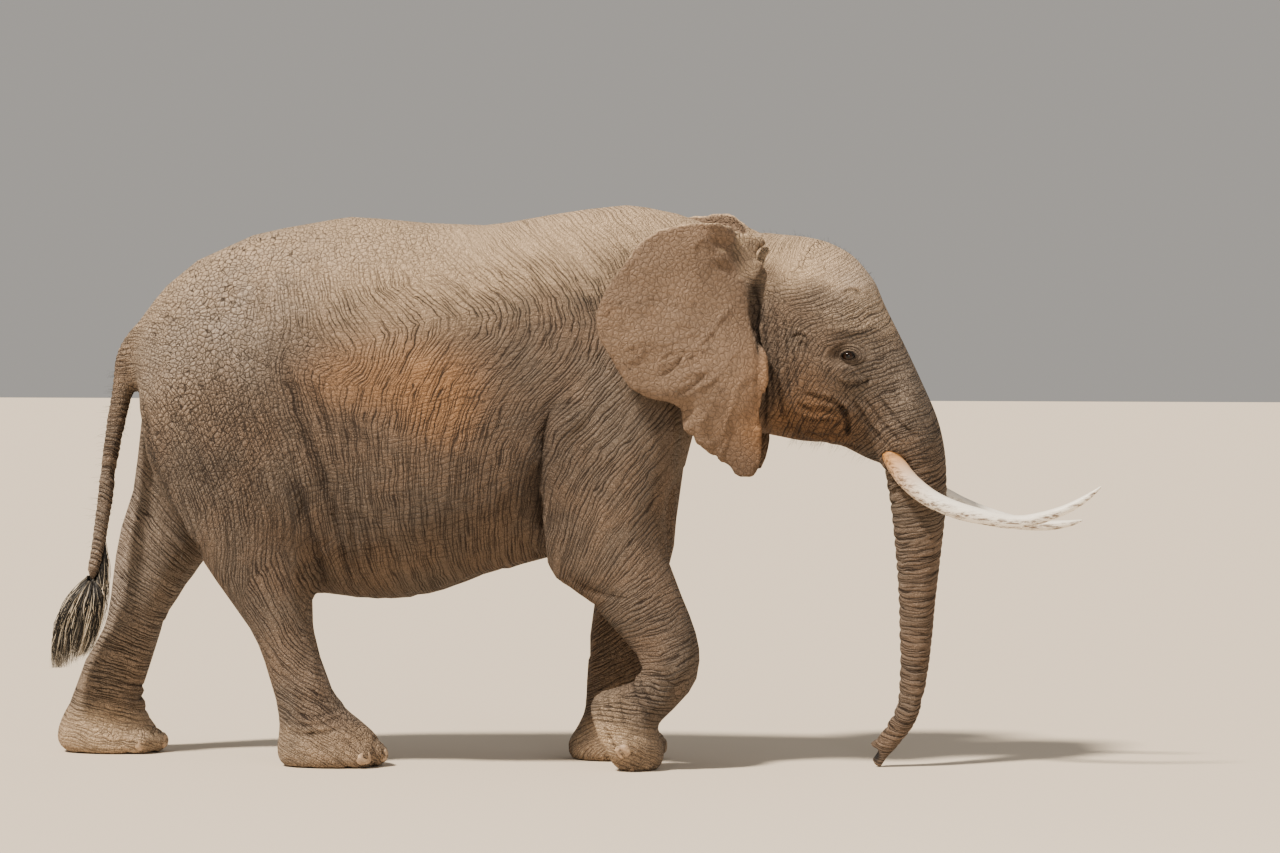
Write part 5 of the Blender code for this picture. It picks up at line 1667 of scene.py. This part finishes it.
@dataclass
class Tusks:
    """Round tapering tusks carried along a curve through x, y from the midline, z and radius."""

    rings: int = 120
    sides: int = 40

    def path(self, side: Side) -> tuple:
        """The tusk's stations.

        Args:
            side: The tusk's side.

        Returns:
            Rows of x, metres from the midline, z and radius, in plan coordinates.
        """
        if side is Side.RIGHT:
            return ((1.395, 0.150, 1.450, 0.040), (1.430, 0.172, 1.360, 0.0435),
                    (1.520, 0.205, 1.255, 0.0435), (1.650, 0.235, 1.178, 0.039),
                    (1.820, 0.255, 1.128, 0.035), (1.990, 0.262, 1.108, 0.029),
                    (2.150, 0.255, 1.148, 0.023), (2.265, 0.245, 1.205, 0.0155),
                    (2.345, 0.238, 1.266, 0.003))
        return ((1.395, 0.150, 1.450, 0.040), (1.430, 0.172, 1.360, 0.0435),
                (1.520, 0.205, 1.250, 0.0435), (1.640, 0.235, 1.180, 0.039),
                (1.780, 0.255, 1.120, 0.035), (1.930, 0.262, 1.080, 0.030),
                (2.060, 0.258, 1.068, 0.024), (2.160, 0.252, 1.075, 0.0165),
                (2.232, 0.248, 1.092, 0.004))

    def build(self, side: Side) -> Piece:
        """Make one tusk: circles square to the curve, uneven by low noise, closed at both ends.

        Args:
            side: The tusk's side.

        Returns:
            The piece.
        """
        rows = spline(np.array(self.path(side)), self.rings)
        rows[:, 1] *= side.sign
        rows[:, 0] += SHIFT
        ahead = np.gradient(rows[:, :3], axis=0)
        ahead /= np.linalg.norm(ahead, axis=1)[:, None]
        across = np.cross(ahead, (0.0, 1.0, 0.0))
        across /= np.linalg.norm(across, axis=1)[:, None]
        other = np.cross(ahead, across)
        turn = np.linspace(0, 2 * np.pi, self.sides, endpoint=False)
        c, s = np.cos(turn)[None, :, None], np.sin(turn)[None, :, None]
        ring = np.arange(self.rings)
        tips = np.sqrt(np.clip(np.minimum(ring, ring[::-1]) / 2, 0, 1))
        radius = rows[:, 3:4] * tips[:, None]
        circle = across[:, None] * c + other[:, None] * s
        points = rows[:, None, :3] + radius[:, :, None] * circle
        flat = points.reshape(-1, 3)
        uneven = (noise(flat * np.array([9.0, 22.0, 22.0]), 21) - 0.5) * 0.0028
        flat = flat + circle.reshape(-1, 3) * uneven[:, None] * np.repeat(tips, self.sides)[:, None]
        item = new_object("ivory_" + side.value, flat, grid_faces(self.rings, self.sides, True))
        along = np.repeat(np.linspace(0, 1, self.rings), self.sides)
        under = -circle.reshape(-1, 3)[:, 2] * 0.5 + 0.5
        write_attribute(item.data, "wear", np.stack([along, under, along * 0], 1))
        close_poles(item.data)
        return item


@dataclass
class Nails:
    """Toenails: flat rounded plates set in the front of each foot."""

    across: float = 0.038           # half sizes
    up: float = 0.032
    out: float = 0.018
    rows: int = 20
    columns: int = 40

    def frames(self, leg: str) -> list[tuple[str, Array, Array, Array, Array]]:
        """Each nail's node, middle, and its directions across, up and outwards.

        Args:
            leg: Name of the leg, such as foreleg_left.

        Returns:
            One row for each nail.
        """
        up, toes = FOOT_WAYS.get(leg, ((0.0, 0.0, 1.0), (1.0, 0.0, 0.0)))
        up, toes = np.array(up), np.array(toes)
        side = np.cross(up, toes)
        found = []
        for number, degrees in enumerate(NAIL_ANGLES[leg.split("_")[0]], start=1):
            name = f"{leg}_nail_{number}"
            middle = box_middle(name)
            a = np.radians(degrees)
            ways = [np.cos(a) * toes + sign * np.sin(a) * side for sign in (1, -1)]
            centre = box_middle(leg + "_foot")
            out = max(ways, key=lambda way: float(way @ (middle - centre)))
            found.append((name, middle, np.cross(up, out), up, out))
        return found

    def build(self, leg: str) -> Piece:
        """Make one foot's nails: boxy ellipsoids whose lower edge is worn flat.

        Args:
            leg: Name of the leg, such as foreleg_left.

        Returns:
            The piece.
        """
        polar = np.linspace(0, np.pi, self.rows)[:, None]
        turn = np.linspace(0, 2 * np.pi, self.columns, endpoint=False)[None, :]
        ring = np.sin(polar)
        a, b = ring * np.cos(turn), ring * np.sin(turn)
        a, b = np.sign(a) * np.abs(a) ** 0.72, np.sign(b) * np.abs(b) ** 0.72
        c = np.cos(polar) + 0 * turn
        a = a * (1 - 0.10 * b)
        points, faces = [], []
        for number, (_, middle, across, up, out) in enumerate(self.frames(leg)):
            size = 1.0 if number in (1, 2) or leg.startswith("hind") else 0.86
            shape = (a[..., None] * across * self.across * size + b[..., None] * up * self.up
                     + (c + 0.10 * b)[..., None] * out * self.out)
            spots = shape.reshape(-1, 3) + middle + 0.007 * out
            spots += out * 0.0016 * (noise(spots * 60.0, 51) - 0.5)[:, None]
            spots[:, 2] = np.maximum(spots[:, 2], 0.001)
            points.append(spots)
            faces.append(grid_faces(self.rows, self.columns, True, number * a.size))
        item = new_object("nails_" + leg, np.vstack(points), np.vstack(faces))
        close_poles(item.data)
        return item


@dataclass
class TailTuft:
    """The tail's tuft: long flat strands from the tail's tip that fall, spread and curl."""

    strands: int = 1500
    steps: int = 10
    seed: int = 11
    width: float = 0.0034

    def build(self) -> Piece:
        """Make all strands as one mesh: curves from the tail's skin, out, down and together.

        Returns:
            The piece.
        """
        low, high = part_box("tail_tuft")
        rng = np.random.default_rng(self.seed)
        n = self.strands
        path = spline(np.array(TAIL_PATH), 60)
        turn = rng.random(n) * 2 * np.pi
        front = np.cos(turn)
        start = 0.985 - 0.16 * step(-front, -0.4, 0.6)
        start = start + (0.800 - start) * step(-np.sin(turn), 0.1, 0.4)
        level = start - (start - 0.775) * rng.random(n) ** 0.8
        order = np.argsort(path[:, 1])
        x = np.interp(level, path[order, 1], path[order, 0]) + SHIFT
        radius = np.interp(level, path[order, 1], path[order, 2])
        root = np.stack([x + 0.9 * radius * front, 0.9 * radius * np.sin(turn), level], 1)
        end = np.stack([SHIFT - 2.325 + 0.055 * front + rng.normal(0, 0.018, n),
                        0.045 * np.sin(turn) + rng.normal(0, 0.018, n),
                        0.425 + 0.22 * rng.random(n) ** 2.2 + 0.040 * front], 1)
        end[:, 0] += 0.30 * (end[:, 2] - 0.475)
        wide = np.where(front < 0, 0.120, 0.070)
        out = np.stack([front * wide, np.sin(turn) * 0.065, np.zeros(n)], 1)
        middle = root * 0.52 + end * 0.48 + out * (0.7 + 0.5 * rng.random(n))[:, None]
        t = np.linspace(0, 1, self.steps)[None, :, None]
        line = (root[:, None] * (1 - t) ** 2 + 2 * middle[:, None] * t * (1 - t)
                + end[:, None] * t ** 2)
        curl = rng.random((n, 1)) * 2 * np.pi
        line[..., 0] += 0.004 * np.sin(10 * t[..., 0] + curl) * t[..., 0]
        line[..., 1] += 0.004 * np.cos(9 * t[..., 0] + curl) * t[..., 0]
        line[..., 0] = np.clip(line[..., 0], low[0] - 0.01, high[0] + 0.03)
        line[..., 2] = np.clip(line[..., 2], low[2] + 0.003, None)
        place = np.stack([turn / (2 * np.pi), (level - 0.7) / 0.4], 1)
        return strands("tail_hair", line, self.width, rng, place)


@dataclass
class Lashes:
    """Long straight lashes that hang out and down over the eye from the upper lid."""

    count: int = 30
    length: float = 0.034
    width: float = 0.0014
    seed: int = 5

    def build(self, side: Side) -> Piece:
        """Make one eye's lashes, rooted along the upper edge of the opening.

        Args:
            side: The eye's side.

        Returns:
            The piece.
        """
        rng = np.random.default_rng(self.seed)
        middle, sign = box_middle("eye_" + side.value), side.sign
        middle[1] -= sign * EYE_SINK
        u = np.linspace(-0.92, 0.92, self.count) + rng.normal(0, 0.02, self.count)
        w = np.sqrt(np.clip(1 - u ** 2, 0, None)) * EYE_OPENING[1] * 1.04
        u = u * EYE_OPENING[0]
        out = np.sqrt(np.clip(EYE_RADIUS ** 2 - u ** 2 - w ** 2, 0.0001, None)) + 0.002
        root = middle + np.stack([u, sign * out, w], 1)
        t = np.linspace(0, 1, 6)[None, :, None]
        reach = self.length * (0.65 + 0.5 * rng.random(self.count))[:, None, None]
        lean = np.stack([u * 9 + rng.normal(0, 0.12, self.count), np.full(self.count, sign * 0.90),
                         0.05 + rng.normal(0, 0.12, self.count)], 1)[:, None, :]
        line = root[:, None, :] + lean * reach * t + np.array([0.0, 0.0, -0.35]) * reach * t ** 2
        place = np.stack([u / EYE_OPENING[0] * 0.45 + 0.5, w / EYE_OPENING[1] * 0.4 + 0.3], 1)
        return strands("lashes_" + side.value, line, self.width, rng, place, 0.2)


@dataclass
class Bristles:
    """Sparse stiff hairs on chin, back and tail, rooted in the skin's own vertices."""

    count: int = 700
    width: float = 0.0010
    seed: int = 23

    def build(self, skin: Piece) -> Piece:
        """Choose roots by place, and let each hair lean back from the skin's normal.

        Args:
            skin: The skin's object.

        Returns:
            The piece.
        """
        rng = np.random.default_rng(self.seed)
        points, normals = read_points(skin.data), read_normals(skin.data)
        x, y, z = points[:, 0] - SHIFT, points[:, 1], points[:, 2]
        chin = (x > 0.95) * (x < 1.42) * (z > 1.38) * (z < 1.60) * (normals[:, 2] < -0.15) * 0.8
        back = (normals[:, 2] > 0.55) * (np.abs(y) < 0.42) * (z > 2.0)
        tail = (x < -1.98) * (z < 1.75) * (z > 0.95) * (np.abs(normals[:, 0]) > 0.6) * 2.0
        chance = (chin + back + tail) * (np.abs(y) < 0.48)
        chosen = rng.choice(len(points), self.count, replace=False, p=chance / chance.sum())
        root, up = points[chosen], normals[chosen]
        size = (0.016 + 0.024 * rng.random(self.count))[:, None, None]
        t = np.linspace(0, 1, 5)[None, :, None]
        lean = np.array([-0.5, 0.0, -0.25]) + rng.normal(0, 0.22, (self.count, 3))
        line = root[:, None] - 0.002 * up[:, None] + size * (up[:, None] * t
                                                            + lean[:, None] * t ** 1.6)
        line[..., 2] = np.maximum(line[..., 2], 0.01)
        turn = np.arctan2(root[:, 1], root[:, 2] - 1.5) / (2 * np.pi) + 0.5
        place = np.stack([turn, (root[:, 0] - SHIFT + 2.4) / 4.2], 1)
        return strands("bristles", line, self.width, rng, place, 0.12)


def strands(name: str, line: Array, width: float, rng: np.random.Generator, root: Array,
            bright: float = 1.0) -> Piece:
    """Tapering three-sided hairs along lines, as one mesh.

    Args:
        name: The piece's name.
        line: Strand, step, xyz.
        width: Thickness at the root in metres.
        rng: Source of each strand's brightness.
        root: Each root's place, from 0 to 1 both ways, on an unwrap of the skin under it.
        bright: How pale the palest strands are.

    Returns:
        The object, with the attribute strand and the map OFBake.
    """
    n, k, _ = line.shape
    ahead = np.gradient(line, axis=1)
    ahead /= np.linalg.norm(ahead, axis=2)[..., None] + 1e-12
    side = np.cross(ahead, (0.3, 0.2, 0.93))
    side /= np.linalg.norm(side, axis=2)[..., None] + 1e-12
    other = np.cross(ahead, side)
    thick = width / 2 * (1 - 0.85 * np.linspace(0, 1, k) ** 1.5)[None, :, None]
    turns = np.arange(3) * 2 * np.pi / 3
    ring = [line + thick * (side * np.cos(a) + other * np.sin(a)) for a in turns]
    points = np.stack(ring, axis=2).reshape(-1, 3)
    faces = grid_faces(k, 3, True)
    faces = (faces[None] + (np.arange(n) * k * 3)[:, None, None]).reshape(-1, 4)
    base = (np.arange(n) * k * 3)[:, None]
    ends = np.concatenate([base + np.array([[2, 1, 0]]), base + (k - 1) * 3 + np.array([[0, 1, 2]])])
    item = new_object(name, points, faces.tolist() + ends.tolist())
    along = np.tile(np.repeat(np.linspace(0, 1, k), 3), n)
    shade = np.repeat((rng.random(n) ** 5.0) * bright, k * 3)
    write_attribute(item.data, "strand", np.stack([along, shade, shade], 1))
    round_it = np.tile([-0.5, 0.0, 0.5], n * k)
    inside = np.stack([round_it, along - 0.5], 1) * TUFT_UV
    spot = np.repeat(np.clip(root, TUFT_UV, 1 - TUFT_UV), k * 3, axis=0) + inside
    corner = np.empty(len(item.data.loops), dtype=np.int32)
    item.data.loops.foreach_get("vertex_index", corner)
    layer = item.data.uv_layers.new(name="OFBake")
    layer.data.foreach_set("uv", spot[corner].astype(np.float32).ravel())
    return item


# ---------------------------------------------------------------- studio
@dataclass
class Studio:
    """A flat pale floor, soft lights and the camera. Lengths are in metres, angles in degrees."""

    distance: float = 25.0          # of the camera from the animal's midline
    azimuth: float = 8.0
    height: float = 2.3
    lens: float = 157.5             # millimetres, as the sensor's width
    sensor: float = 36.0
    drop: float = 1.811             # that the camera looks down
    aim: float = 0.270              # plan x that the camera looks at
    floor_half: float = 60.0
    floor_colour: str = "d9cbb8"
    floor_roughness: float = 0.9
    sun_power: float = 7.5
    sun_angle: float = 7.0
    sun_colour: str = "fff3e2"
    sun_way: tuple[float, float, float] = (0.46, 0.56, -1.0)
    lamp_place: tuple[float, float, float] = (4.0, -8.0, 3.5)
    lamp_aim: tuple[float, float, float] = (0.0, 0.0, 1.4)
    lamp_size: float = 2.0
    lamp_power: float = 120.0
    sky_colour: str = "f6f0e8"
    sky_power: float = 0.44

    def build(self) -> None:
        """Set up floor, lights, world and camera."""
        self.floor()
        self.lights()
        turn = np.radians(self.azimuth)
        ahead = np.array([-np.sin(turn), np.cos(turn), 0.0])
        place = np.array([self.aim + SHIFT, 0.0, self.height]) - ahead * self.distance
        drop = np.radians(self.drop)
        look = ahead * np.cos(drop) - np.array([0, 0, np.sin(drop)])
        data = bpy.data.cameras.new("camera")
        data.lens = self.lens
        data.sensor_width = self.sensor
        data.clip_end = 100.0
        camera = bpy.data.objects.new("camera", data)
        camera.location = place
        camera.rotation_euler = Vector(look).to_track_quat("-Z", "Y").to_euler()
        bpy.context.scene.collection.objects.link(camera)
        bpy.context.scene.camera = camera

    def floor(self) -> None:
        """A wide flat floor."""
        corners = np.array([(-1, -1, 0), (1, -1, 0), (1, 1, 0), (-1, 1, 0)]) * self.floor_half
        item = new_object("floor", corners, [[0, 1, 2, 3]])
        paint = Nodes("studio_floor")
        item.data.materials.append(paint.finish(linear(self.floor_colour), self.floor_roughness))

    def light(self, data: bpy.types.Light, way: tuple, power: float, colour: str) -> Piece:
        """Hang a light in the scene.

        Args:
            data: The light.
            way: The direction that it shines.
            power: Its power, in watts or for a sun in watts to the square metre.
            colour: Its sRGB hex colour.

        Returns:
            Its object.
        """
        data.energy = power
        data.color = linear(colour)[:3]
        item = bpy.data.objects.new(data.name, data)
        item.rotation_euler = Vector(way).to_track_quat("-Z", "Y").to_euler()
        bpy.context.scene.collection.objects.link(item)
        return item

    def lights(self) -> None:
        """A soft light high overhead like a hazy sun, a weak one in front, and an even sky."""
        sun = bpy.data.lights.new("key", "SUN")
        sun.angle = np.radians(self.sun_angle)
        self.light(sun, self.sun_way, self.sun_power, self.sun_colour)
        lamp = bpy.data.lights.new("front", "AREA")
        lamp.size = self.lamp_size
        way = Vector(self.lamp_aim) - Vector(self.lamp_place)
        self.light(lamp, way, self.lamp_power, "ffffff").location = self.lamp_place
        world = bpy.data.worlds.new("sky")
        world.use_nodes = True
        back = world.node_tree.nodes["Background"]
        back.inputs[0].default_value = linear(self.sky_colour)
        back.inputs[1].default_value = self.sky_power
        bpy.context.scene.world = world


# ---------------------------------------------------------------- the whole
def dress(item: Piece, material: Material) -> Piece:
    """Give a piece its material and slot, and let it ride on the body.

    Args:
        item: The piece.
        material: Its material.

    Returns:
        The piece.
    """
    item.data.materials.clear()
    item.data.materials.append(material)
    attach(item, BODY)
    LOG.info("%s: %d faces", item.name, len(item.data.polygons))
    return item


def main() -> None:
    """Build every piece in order."""
    Studio().build()
    skin = Skin(Lie())
    item = dress(skin.build(), ElephantHide().make())
    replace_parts(item, *skin.flesh())
    ivory = Ivory().make()
    glass = EyeGlass().make()
    horn = Horn().make()
    hair = CoarseHair().make()
    for side in Side:
        ball = dress(Eyes().build(side), glass)
        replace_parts(ball, "eye_" + side.value)
        tusk = dress(Tusks().build(side), ivory)
        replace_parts(tusk, "tusk_" + side.value)
    nails = Nails()
    for leg in ("foreleg_right", "foreleg_left", "hindleg_right", "hindleg_left"):
        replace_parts(dress(nails.build(leg), horn), *[row[0] for row in nails.frames(leg)])
    for side in Side:
        dress(Lashes().build(side), hair)
    dress(Bristles().build(item), hair)
    tuft = dress(TailTuft().build(), hair)
    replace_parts(tuft, "tail_tuft")
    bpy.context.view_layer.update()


if __name__ == "__main__":
    logging.basicConfig(level=logging.INFO, format="%(message)s")
    main()
